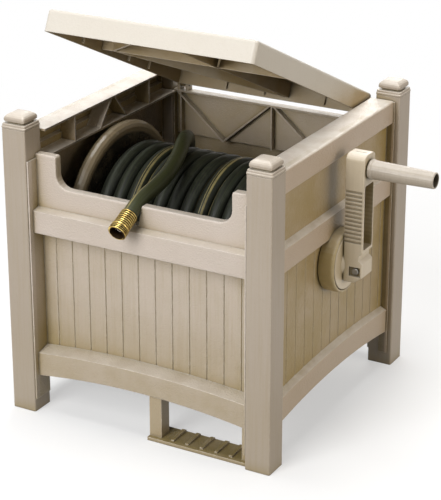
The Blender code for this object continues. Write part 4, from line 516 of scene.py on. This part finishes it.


# dirt and painted shade in the grip grooves across the crank's arm, on the faces that look to the front and
# the
# back: a groove is where (z - lowest) / pitch is near a whole number
def buildGripLines():
    group, into, out = startGroup(
        "grip lines", [("Lowest", 0.2745, 0.0, 1.0), ("Pitch", 0.0061, 0.001, 0.1),
                       ("Count", 13.0, 1.0, 40.0)], ["Groove"])
    rise = minus(group, partsOf(group, objectPlace(group))["Z"], into["Lowest"])
    step = joinMath(group, "DIVIDE", rise, into["Pitch"])
    nearest = size(group, minus(group, joinMath(group, "FRACT", joinMath(group, "ADD", step, 0.5)), 0.5))
    belowTop = spread(group, minus(group, step, into["Count"]), -0.5, -0.6)
    inside = times(group, spread(group, step, -0.5, -0.4), belowTop)
    flank = spread(group, size(group, faceWay(group)["Y"]), 0.5, 0.8)
    groove = times(group, spread(group, nearest, 0.30, 0.20), times(group, inside, flank))
    return giveOut(group, out, Groove=groove)


# painted shade that darkens towards the bottom: a mask of the height, broken up in patches
def buildGroundSplash():
    group, into, out = startGroup(
        "ground splash", [("Low", 0.06, -1.0, 1.0), ("High", 0.22, -1.0, 2.0)], ["Splash"])
    place = objectPlace(group)
    patches = spread(group, noiseAt(group, place, 22.0, 5.0, 0.65), 0.3, 0.7, 0.7, 1.0)
    near = spread(group, partsOf(group, place)["Z"], into["High"], into["Low"])
    return giveOut(group, out, Splash=times(group, near, patches))


# black rubber marks that the hose has left on the drum, and painted shade on the flanges' inner faces, inside
# the
# rolled rim: a mask of the distance from its axle
def buildRubberMarks():
    group, into, out = startGroup(
        "rubber marks", [("Axle Height", axleHeight, 0.0, 1.0), ("Rim", 0.125, 0.01, 1.0)], ["Marks"])
    place = objectPlace(group)
    part = partsOf(group, place)
    rise = minus(group, part["Z"], into["Axle Height"])
    squares = joinMath(group, "MULTIPLY_ADD", rise, rise, times(group, part["Y"], part["Y"]))
    away = joinMath(group, "SQRT", squares)
    inner = spread(group, minus(group, away, into["Rim"]), 0.003, -0.004)
    broken = spread(group, noiseAt(group, place, 26.0, 5.0, 0.65), 0.25, 0.6, 0.72, 1.0)
    return giveOut(group, out, Marks=times(group, inner, broken))


# painted shade, near black, in the hollows between turned ribs or thread crests, from the piece's own map: a
# hollow is where turn = (v - offset) / pitch - twist * u is whole, and past the end all is painted dark
def buildTurnedHollows():
    group, into, out = startGroup(
        "turned hollows", [("Pitch", 0.003, 0.0001, 0.1), ("Offset", 0.0, -1.0, 1.0),
                           ("Twist", 0.0, -1.0, 1.0), ("Start", 0.0, -1.0, 1.0), ("End", 1.0, -1.0, 10.0)],
        ["Hollow"])
    around, along = lineMap(group)[:2]
    run = joinMath(group, "DIVIDE", minus(group, along, into["Offset"]), into["Pitch"])
    turn = minus(group, run, times(group, around, into["Twist"]))
    away = size(group, minus(group, joinMath(group, "FRACT", turn), 0.5))
    begun = joinMath(group, "GREATER_THAN", along, into["Start"])
    beyond = joinMath(group, "GREATER_THAN", along, into["End"])
    hollow = times(group, spread(group, away, 0.15, 0.32), begun)
    return giveOut(group, out, Hollow=joinMath(group, "MAXIMUM", hollow, beyond))


# painted shade on recessed boards and on the walls' inner faces: masks of the depth behind the box's
# outer faces
def buildRecessSoil():
    group, into, out = startGroup(
        "recess soil", [("Middle", -middleX, -1.0, 1.0), ("Half Width", 0.21, 0.0, 1.0),
                        ("Half Depth", 0.215, 0.0, 1.0), ("Start", 0.0105, 0.0, 0.1),
                        ("Full", 0.0165, 0.0, 0.1), ("Back", 0.0195, 0.0, 0.2)],
        ["Recess", "Inside"])
    place = objectPlace(group)
    part, facing = partsOf(group, place), faceWay(group)
    fromMiddle = minus(group, part["X"], into["Middle"])
    depth = joinMath(group, "MINIMUM", minus(group, into["Half Width"], size(group, fromMiddle)),
                     minus(group, into["Half Depth"], size(group, part["Y"])))
    patchy = spread(group, noiseAt(group, place, 13.0, 5.0, 0.62), 0.30, 0.68, 0.58, 1.0)
    inwardX = spread(group, times(group, facing["X"], joinMath(group, "SIGN", fromMiddle)), -0.5, -0.9)
    inwardY = spread(group, times(group, facing["Y"], joinMath(group, "SIGN", part["Y"])), -0.5, -0.9)
    inner = times(group, joinMath(group, "MAXIMUM", inwardX, inwardY), spread(group, depth, 0.009, 0.011))
    board = times(group, spread(group, depth, into["Start"], into["Full"]),
                  joinMath(group, "LESS_THAN", depth, into["Back"]))
    return giveOut(group, out, Recess=times(group, board, patchy), Inside=times(group, inner, patchy))


mouldedGrain, softEdges, cornerGrime = buildMouldedGrain(), buildSoftEdges(), buildCornerGrime()
hoseSkin, gripLines, groundSplash = buildHoseSkin(), buildGripLines(), buildGroundSplash()
rubberMarks, turnedHollows, recessSoil = buildRubberMarks(), buildTurnedHollows(), buildRecessSoil()
print("finish groups built")


def startMaterial(name):
    material = bpy.data.materials.new(name)
    material.use_nodes = True
    tree = material.node_tree
    return material, tree, tree.nodes["Principled BSDF"]


def placeGroup(tree, group, **values):
    node = tree.nodes.new("ShaderNodeGroup")
    node.node_tree = group
    for name, value in values.items():
        node.inputs[name.replace("_", " ")].default_value = value
    return node.outputs


def mixColour(tree, factor, first, second):
    node = addNode(tree, "Mix", data_type="RGBA")
    for socket, value in ((node.inputs["Factor"], factor), (node.inputs[6], first), (node.inputs[7], second)):
        feed(tree, socket, value)
    return node.outputs[2]


def tint(tree, body, mask, amount, colour):
    # body + mask * amount * (colour - body)
    return mixColour(tree, times(tree, mask, amount), body, colour)


def bumpFrom(tree, height, strength, distance, normal=None):
    node = addNode(tree, "Bump")
    node.inputs["Strength"].default_value = strength
    node.inputs["Distance"].default_value = distance
    feed(tree, node.inputs["Height"], height)
    if normal is not None:
        feed(tree, node.inputs["Normal"], normal)
    return node.outputs["Normal"]


# grained outdoor plastic: cloudy body colour, paler edges (rubbed wear and a painted highlight), olive painted
# shade in recesses, low down and near other surfaces, dark painted shade and dirt in the corners, and paler
# tops (dust and painted light)
def mouldedPlastic(name, s):
    material, tree, shader = startMaterial(name)
    grain = placeGroup(tree, mouldedGrain, Grain_Size=s["grainSize"], Cloud_Size=s["cloudSize"])
    edges = placeGroup(tree, softEdges, Radius=s["edgeRadius"])
    # broad: olive painted shade near other surfaces; tight: dark painted shade with some dirt right in the
    # corners
    broad = placeGroup(tree, cornerGrime, Reach=s["soilReach"], Patch_Size=0.09, Start=0.10,
                       Full=s["soilFull"])
    tight = placeGroup(tree, cornerGrime, Reach=s["grimeReach"], Patch_Size=0.03, Start=0.12, Full=0.60)
    body = mixColour(tree, spread(tree, grain["Clouds"], 0.3, 0.7), s["colour"], s["cloudColour"])
    body = tint(tree, body, grain["Specks"], s["specks"], s["grimeColour"])
    streaks = times(tree, grain["Streaks"], s["streak"])
    # painted shade in the recessed boards and on the inner faces of the walls
    if "recess" in s:
        recess = placeGroup(tree, recessSoil, Start=s["recessStart"], Full=s["recessFull"],
                            Back=s["recessBack"])
        streaks = times(tree, streaks, recess["Recess"])
        body = tint(tree, body, recess["Recess"], s["recess"], s["soilColour"])
        body = tint(tree, body, recess["Inside"], s["inside"], s["insideColour"])
    # painted shade, darker towards the bottom
    if "splash" in s:
        body = tint(tree, body, placeGroup(tree, groundSplash)["Splash"], s["splash"], s["soilColour"])
    body = mixColour(tree, streaks, body, s["soilColour"])
    body = tint(tree, body, broad["Grime"], s["soil"], s["soilColour"])
    # paler edges: rubbed wear and a painted highlight
    body = tint(tree, body, edges["Rub"], s["rub"], s["rubColour"])
    body = tint(tree, body, tight["Grime"], s["grime"], s["grimeColour"])
    # paler tops: pale dust and painted light from above
    body = tint(tree, body, tight["Dust"], s["dust"], s["dustColour"])
    # painted shade on faces that look down
    if "under" in s:
        body = tint(tree, body, tight["Underside"], s["under"], s["underColour"])
    height = minus(tree, grain["Height"], streaks)
    if "grip" in s:
        grip = s["grip"]
        lines = placeGroup(tree, gripLines, Lowest=grip["lowest"], Pitch=grip["pitch"], Count=grip["count"])
        groove = lines["Groove"]
        # dirt and painted shade in the grip grooves
        body = tint(tree, body, groove, grip["dirt"], s["grimeColour"])
        height = joinMath(tree, "MULTIPLY_ADD", groove, -grip["depth"], height)
    # black rubber marks and painted shade on the drum's flanges inside the rolled rim
    if "rubber" in s:
        marks = placeGroup(tree, rubberMarks, Rim=s["rubber"]["rim"])["Marks"]
        body = tint(tree, body, marks, s["rubber"]["amount"], s["rubber"]["colour"])
    feed(tree, shader.inputs["Base Color"], body)
    rough = joinMath(tree, "MULTIPLY_ADD", grain["Clouds"], 0.12, s["roughness"] - 0.06)
    rough = joinMath(tree, "MULTIPLY_ADD", edges["Rub"], -0.10, rough, clamp=True)
    feed(tree, shader.inputs["Roughness"], rough)
    shader.inputs["Specular IOR Level"].default_value = s["shine"]
    normal = bumpFrom(tree, height, s["grainStrength"], s["grainDepth"], edges["Normal"])
    feed(tree, shader.inputs["Normal"], normal)
    return material


# what the taupe parts have in common; sizes and reaches are in metres, amounts go from 0 to 1, and the depth
# of a grip groove is in heights of the grain
taupe = {"grimeColour": (0.120, 0.090, 0.040), "soilColour": (0.255, 0.186, 0.055), "soilFull": 0.70,
         "specks": 0.18, "grime": 0.85, "shine": 0.5}
boxPlastic = dict(
    taupe, colour=(0.530, 0.458, 0.398), cloudColour=(0.505, 0.434, 0.372), rubColour=(0.80, 0.745, 0.66),
    dustColour=(0.74, 0.69, 0.62), grainSize=0.0023, cloudSize=0.10, edgeRadius=0.0016, grimeReach=0.006,
    soilReach=0.045, rub=0.85, soil=0.85, dust=0.9, streak=0.05, roughness=0.40, grainStrength=1.0,
    grainDepth=0.0007, splash=0.30)
# front and rear walls: painted shade on their recessed boards and on their inner faces
frontPlastic = dict(boxPlastic, dust=0.45, streak=0.16, recess=0.26, recessStart=0.0240, recessFull=0.0310,
                    recessBack=0.0350, splash=0.55, inside=0.5, insideColour=(0.300, 0.235, 0.135))
crankPlastic = dict(
    taupe, colour=(0.500, 0.428, 0.336), cloudColour=(0.475, 0.404, 0.312), rubColour=(0.76, 0.70, 0.60),
    grimeColour=(0.120, 0.090, 0.038), dustColour=(0.66, 0.60, 0.52), grainSize=0.0014, cloudSize=0.05,
    edgeRadius=0.0014, grimeReach=0.006, soilReach=0.040, rub=0.7, soil=0.9, dust=0.5, streak=0.08,
    roughness=0.36, grainStrength=0.3, grainDepth=0.00018)
plasticSets = {
    # the side walls: a darker, more olive copy of the box plastic, which paints the shade on the side faces
    "sides": dict(boxPlastic, colour=(0.485, 0.388, 0.298), cloudColour=(0.461, 0.364, 0.274), streak=0.14,
                  soilColour=(0.305, 0.218, 0.070), splash=0.22, recess=0.94, recessStart=0.0105,
                  recessFull=0.0165, recessBack=0.0200, inside=0.88, insideColour=(0.040, 0.034, 0.024)),
    "front": frontPlastic,
    "rear": dict(frontPlastic, inside=0.8, insideColour=(0.400, 0.310, 0.178)),
    # the foot step: a darker copy of the box plastic and a dark olive on its upward faces, both painted shade
    # of the tread under the box
    "step": dict(boxPlastic, colour=(0.445, 0.365, 0.266), cloudColour=(0.420, 0.341, 0.242),
                 dustColour=(0.225, 0.168, 0.058), soil=0.5),
    # the posts: a darker copy of the box plastic, which paints the shade on them
    "posts": dict(taupe, colour=(0.384, 0.325, 0.264), cloudColour=(0.362, 0.303, 0.242),
                  rubColour=(0.74, 0.68, 0.59), dustColour=(0.68, 0.62, 0.54), grainSize=0.0012,
                  cloudSize=0.16, edgeRadius=0.0014, grimeReach=0.005, soilReach=0.030, rub=0.85, soil=0.7,
                  dust=0.75, streak=0.12, roughness=0.40, grainStrength=0.3, grainDepth=0.00018, splash=0.12),
    # the lid: paler than the box plastic, partly its own paler plastic and partly painted light; its downward
    # faces and hollows get painted shade
    "lid": dict(taupe, colour=(0.560, 0.520, 0.458), cloudColour=(0.540, 0.498, 0.432),
                rubColour=(0.80, 0.76, 0.68), grimeColour=(0.090, 0.068, 0.030), dustColour=(0.66, 0.62, 0.55),
                soilColour=(0.330, 0.240, 0.115), grainSize=0.0030, cloudSize=0.12, edgeRadius=0.0016,
                grimeReach=0.008, soilReach=0.120, rub=0.6, soil=1.0, soilFull=0.34, dust=0.5, streak=0.03,
                roughness=0.44, grainStrength=0.4, grainDepth=0.0004, under=0.9,
                underColour=(0.300, 0.216, 0.102)),
    # the crank's cover: a darker, more olive copy of the crank plastic, which paints the shade round the
    # crank's hub
    "cover": dict(crankPlastic, colour=(0.460, 0.360, 0.180), cloudColour=(0.430, 0.334, 0.160), dust=0.3,
                  rub=0.9, roughness=0.26),
    "arm": dict(crankPlastic, colour=(0.590, 0.508, 0.385), cloudColour=(0.565, 0.484, 0.362),
                grip={"lowest": 0.2745, "pitch": 0.0061, "count": 13.0, "dirt": 0.17, "depth": 2.6}),
    # the handle: a near black tint with a short reach, painted shade down its bore and where it meets the arm
    "handle": dict(crankPlastic, colour=(0.385, 0.335, 0.274), cloudColour=(0.365, 0.315, 0.254), soil=1.0,
                   soilReach=0.03, soilColour=(0.060, 0.046, 0.024), dust=0.2),
    # the drum: darker than the box plastic, which paints the shade inside the box; black rubber marks and
    # painted shade on its flanges' inner faces
    "drum": dict(taupe, colour=(0.310, 0.250, 0.160), cloudColour=(0.265, 0.212, 0.130),
                 rubColour=(0.55, 0.48, 0.36), grimeColour=(0.060, 0.046, 0.022),
                 dustColour=(0.34, 0.28, 0.19), soilColour=(0.130, 0.100, 0.048), grainSize=0.0024,
                 cloudSize=0.06, edgeRadius=0.0010, grimeReach=0.012, soilReach=0.050, rub=0.5, grime=0.7,
                 soil=0.6, dust=0.1, streak=0.0, roughness=0.26, grainStrength=0.12, grainDepth=0.00012,
                 rubber={"rim": 0.1265, "amount": 0.95, "colour": (0.010, 0.010, 0.009)}),
    "black": dict(colour=(0.018, 0.018, 0.018), cloudColour=(0.026, 0.025, 0.024),
                  rubColour=(0.09, 0.09, 0.085), grimeColour=(0.050, 0.045, 0.035),
                  dustColour=(0.10, 0.09, 0.08), soilColour=(0.035, 0.032, 0.026), grainSize=0.0009,
                  cloudSize=0.03, edgeRadius=0.0007, grimeReach=0.006, soilReach=0.020, soilFull=0.70, rub=0.4,
                  specks=0.18, grime=0.5, soil=0.5, dust=0.3, streak=0.0, roughness=0.38, shine=0.5,
                  grainStrength=0.10, grainDepth=0.00010),
    "seal": dict(colour=(0.010, 0.010, 0.010), cloudColour=(0.018, 0.017, 0.016), rubColour=(0.05, 0.05, 0.05),
                 grimeColour=(0.045, 0.040, 0.032), dustColour=(0.07, 0.065, 0.06),
                 soilColour=(0.030, 0.027, 0.022), grainSize=0.0006, cloudSize=0.01, edgeRadius=0.0003,
                 grimeReach=0.003, soilReach=0.010, soilFull=0.70, rub=0.3, specks=0.18, grime=0.5, soil=0.4,
                 dust=0.3, streak=0.0, roughness=0.7, shine=0.35, grainStrength=0.2, grainDepth=0.00006),
}

# stripeTurn is turns of the stripe in a metre of hose, and green moves the dark green over more of it
woundVinyl = {"colour": (0.0150, 0.0158, 0.0132), "greenColour": (0.036, 0.044, 0.022), "stripeTurn": 0.31,
              "stripeStart": 0.34, "green": 0.0, "stripeColour": (0.34, 0.28, 0.12),
              "scuffColour": (0.055, 0.057, 0.040), "grimeColour": (0.004, 0.005, 0.004), "scuffs": 0.35,
              "grime": 0.7, "roughness": 0.42, "shine": 0.28, "streakStrength": 0.10, "streakDepth": 0.0003}
vinylSets = {
    "wound hose": woundVinyl,
    "free end": dict(woundVinyl, colour=(0.0150, 0.0165, 0.0098), greenColour=(0.045, 0.050, 0.020),
                     stripeTurn=0.9, stripeStart=0.2, green=0.22),
    "lower layer": dict(woundVinyl, stripeTurn=0.5, stripeStart=0.1),
}


# dark green vinyl with wandering stripes, glossier where it has been drawn smooth, and painted shade where the
# turns meet
def hoseMaterial(name, s):
    material, tree, shader = startMaterial(name)
    skin = placeGroup(tree, hoseSkin, Stripe_Turn=s["stripeTurn"], Stripe_Start=s["stripeStart"])
    # painted shade with some dirt where the turns lie against each other
    grime = placeGroup(tree, cornerGrime, Reach=0.012, Patch_Size=0.05, Start=0.15, Full=0.75)
    greener = spread(tree, skin["Streaks"], 0.35 - s["green"], 0.75 - s["green"])
    body = mixColour(tree, greener, s["colour"], s["greenColour"])
    body = tint(tree, body, skin["Scuffs"], s["scuffs"], s["scuffColour"])
    body = mixColour(tree, skin["Stripe"], body, s["stripeColour"])
    feed(tree, shader.inputs["Base Color"], tint(tree, body, grime["Grime"], s["grime"], s["grimeColour"]))
    rough = joinMath(tree, "MULTIPLY_ADD", skin["Scuffs"], 0.16, s["roughness"])
    feed(tree, shader.inputs["Roughness"], joinMath(tree, "MULTIPLY_ADD", skin["Streaks"], 0.08, rough))
    shader.inputs["Specular IOR Level"].default_value = s["shine"]
    normal = bumpFrom(tree, skin["Height"], s["streakStrength"], s["streakDepth"])
    feed(tree, shader.inputs["Normal"], normal)
    return material


brass = {"colour": (0.74, 0.55, 0.18), "darkColour": (0.26, 0.145, 0.035), "pitColour": (0.018, 0.009, 0.003),
         "roughness": 0.15, "tarnish": 0.8, "edgeRadius": 0.0002, "scratch": 0.08, "scratchDepth": 0.00004,
         "pitReach": 0.0030, "boreReach": 0.016}
ribHollows = {"Pitch": (ferruleSet["length"] - 2 * ferruleSet["edge"]) / ferruleSet["ribs"],
              "Offset": ferruleSet["gap"] + ferruleSet["edge"], "Twist": 0.0, "Start": 0.0,
              "End": ferruleEnd - 0.0001}
threadHollows = {"Pitch": threadSet["pitch"], "Offset": threadFoot + threadSet["pitch"] / 2, "Twist": 1.0,
                 "Start": threadFoot + threadSet["collar"], "End": 1.0}
metalSets = {
    "ribbed brass": dict(brass, hollows=ribHollows),
    "threaded brass": dict(brass, hollows=threadHollows),
    "plated steel": dict(colour=(0.30, 0.285, 0.255), darkColour=(0.20, 0.18, 0.15),
                         pitColour=(0.06, 0.05, 0.04), roughness=0.42, tarnish=0.5, edgeRadius=0.0004,
                         scratch=0.15, scratchDepth=0.00004, pitReach=0.0030, boreReach=0.010),
}


# turned metal: bright crests, tarnish in soft patches, and painted shade near black in the hollows and down
# the bore
def metalFinish(name, s):
    material, tree, shader = startMaterial(name)
    grain = placeGroup(tree, mouldedGrain, Grain_Size=0.0007, Cloud_Size=0.006)
    edges = placeGroup(tree, softEdges, Radius=s["edgeRadius"])
    # painted shade: near black in the tight hollows and down the bore, where the metal also loses its shine
    pits = placeGroup(tree, cornerGrime, Reach=s["pitReach"], Patch_Size=0.004, Start=0.04, Full=0.34)
    bore = placeGroup(tree, cornerGrime, Reach=s["boreReach"], Patch_Size=0.01, Start=0.50, Full=0.85)
    body = tint(tree, s["colour"], spread(tree, grain["Clouds"], 0.4, 0.75), s["tarnish"], s["darkColour"])
    hollow = joinMath(tree, "MAXIMUM", pits["Grime"], bore["Grime"])
    if "hollows" in s:
        hollow = joinMath(tree, "MAXIMUM", hollow, placeGroup(tree, turnedHollows, **s["hollows"])["Hollow"])
    feed(tree, shader.inputs["Base Color"], mixColour(tree, hollow, body, s["pitColour"]))
    rough = joinMath(tree, "MULTIPLY_ADD", grain["Clouds"], 0.18, s["roughness"] - 0.08)
    feed(tree, shader.inputs["Roughness"], joinMath(tree, "MULTIPLY_ADD", hollow, 0.45, rough))
    feed(tree, shader.inputs["Metallic"], joinMath(tree, "MULTIPLY_ADD", hollow, -0.9, 1.0))
    shader.inputs["Specular IOR Level"].default_value = 0.1
    normal = bumpFrom(tree, grain["Height"], s["scratch"], s["scratchDepth"], edges["Normal"])
    feed(tree, shader.inputs["Normal"], normal)
    return material


finishes = {key: mouldedPlastic(key + " plastic", values) for key, values in plasticSets.items()}
finishes.update({key: metalFinish(key, values) for key, values in metalSets.items()})
finishes.update({key: hoseMaterial(key + " vinyl", values) for key, values in vinylSets.items()})

# the first of these that a node's name starts with gives its finish
finishFor = {
    "post_": "posts", "cap_": "posts", "side_panel": "sides", "front_panel": "front", "rear_panel": "rear",
    "foot_step": "step", "lid": "lid", "drum_": "drum", "crank_cover": "cover", "crank_arm": "arm",
    "crank_handle": "handle", "hose_ferrule": "ribbed brass", "hose_coupling": "threaded brass",
    "hose_": "wound hose", "inlet_ring": "seal", "inlet_washer": "seal", "inlet_screw": "plated steel",
    "inlet_": "black", "water_elbow": "black", "hinge_pin": "plated steel", "crank_": "plated steel",
    "handle_pin": "plated steel",
}
for nodeName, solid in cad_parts.items():
    finish = next(finish for start, finish in finishFor.items() if nodeName.startswith(start))
    solid.data.materials.clear()
    solid.data.materials.append(finishes[finish])
madePieces = [(woundHose, "wound hose"), (freeHose, "free end"), (ferrule, "ribbed brass"),
              (thread, "threaded brass")]
for piece, finish in madePieces + [(layer, "lower layer") for layer in lowerHose]:
    piece.data.materials.append(finishes[finish])
print("finishes placed:", len(finishes))


# floor and light; a lamp is its place, its side in metres, its watts and its colour
studioSet = {"floorColour": (0.90, 0.90, 0.90), "bounceColour": (0.38, 0.37, 0.34), "floorReach": 9.0,
             "floorWhite": 0.45, "whiteFrom": 0.6, "whiteTo": 1.6, "worldLevel": 0.15,
             "aim": (0.0, 0.0, 0.25),
             "lamps": {"key lamp": ((-0.35, -2.75, 2.45), 1.8, 56.0, (1.0, 1.0, 1.0)),
                       "front lamp": ((-0.53, -3.03, 1.13), 1.3, 44.0, (1.0, 1.0, 1.0)),
                       "top lamp": ((-0.35, 0.10, 3.05), 1.6, 58.0, (1.0, 1.0, 1.0)),
                       "side lamp": ((2.85, 0.10, 1.05), 1.8, 34.0, (1.0, 0.90, 0.76)),
                       "rear lamp": ((-1.20, 3.15, 1.90), 2.0, 42.0, (1.0, 0.98, 0.95))}}


def raysThatSeeWhite(tree):
    # camera, mirror and glass rays are shown a white room, and the rays that light the object aren't
    path = addNode(tree, "LightPath").outputs
    seen = joinMath(tree, "MAXIMUM", path["Is Camera Ray"], path["Is Glossy Ray"])
    return joinMath(tree, "MAXIMUM", seen, path["Is Transmission Ray"])


def makeFloor(s):
    # a flat grid of 8 by 8 faces, just under the feet; it turns white away from the box
    reach, count = s["floorReach"], 9
    steps = np.linspace(-reach, reach, count)
    x, y = np.meshgrid(steps, steps, indexing="ij")
    points = np.stack([x, y, np.full_like(x, -0.0004)], axis=-1).reshape(-1, 3)
    index = np.arange(count * count).reshape(count, count)
    quads = np.stack([index[:-1, :-1], index[1:, :-1], index[1:, 1:], index[:-1, 1:]], axis=-1).reshape(-1, 4)
    mesh = bpy.data.meshes.new("studio floor")
    mesh.from_pydata(points.tolist(), [], quads.tolist())
    floor = bpy.data.objects.new("studio floor", mesh)
    bpy.context.scene.collection.objects.link(floor)

    material, tree, shader = startMaterial("studio floor")
    place = objectPlace(tree)
    seen = raysThatSeeWhite(tree)
    shaded = tuple(0.99 * part for part in s["floorColour"])
    cloudy = mixColour(tree, noiseAt(tree, place, 1.5, 2.0), s["floorColour"], shaded)
    feed(tree, shader.inputs["Base Color"], mixColour(tree, seen, s["bounceColour"], cloudy))
    shader.inputs["Roughness"].default_value = 0.9
    shader.inputs["Specular IOR Level"].default_value = 0.1
    away = addNode(tree, "VectorMath", operation="LENGTH")
    feed(tree, away.inputs[0], place)
    white = spread(tree, away.outputs["Value"], s["whiteFrom"], s["whiteTo"], s["floorWhite"], 1.0)
    blend = addNode(tree, "MixShader")
    feed(tree, blend.inputs["Fac"], times(tree, seen, white))
    feed(tree, blend.inputs[1], shader.outputs[0])
    feed(tree, blend.inputs[2], addNode(tree, "Emission").outputs[0])
    feed(tree, tree.nodes["Material Output"].inputs["Surface"], blend.outputs[0])
    mesh.materials.append(material)


def lightStudio(s):
    world = bpy.data.worlds.new("studio")
    world.use_nodes = True
    bpy.context.scene.world = world
    tree = world.node_tree
    background = tree.nodes["Background"].inputs
    background["Color"].default_value = (1, 1, 1, 1)
    level = joinMath(tree, "MULTIPLY_ADD", raysThatSeeWhite(tree), 1.0 - s["worldLevel"], s["worldLevel"])
    feed(tree, background["Strength"], level)
    for name, (place, side, watts, colour) in s["lamps"].items():
        lamp = bpy.data.lights.new(name, "AREA")
        lamp.shape = "SQUARE"
        lamp.size, lamp.energy, lamp.color = side, watts, colour
        holder = bpy.data.objects.new(name, lamp)
        bpy.context.scene.collection.objects.link(holder)
        holder.location = place
        holder.rotation_euler = (Vector(s["aim"]) - Vector(place)).to_track_quat("-Z", "Y").to_euler()


makeFloor(studioSet)
lightStudio(studioSet)
print("studio ready")
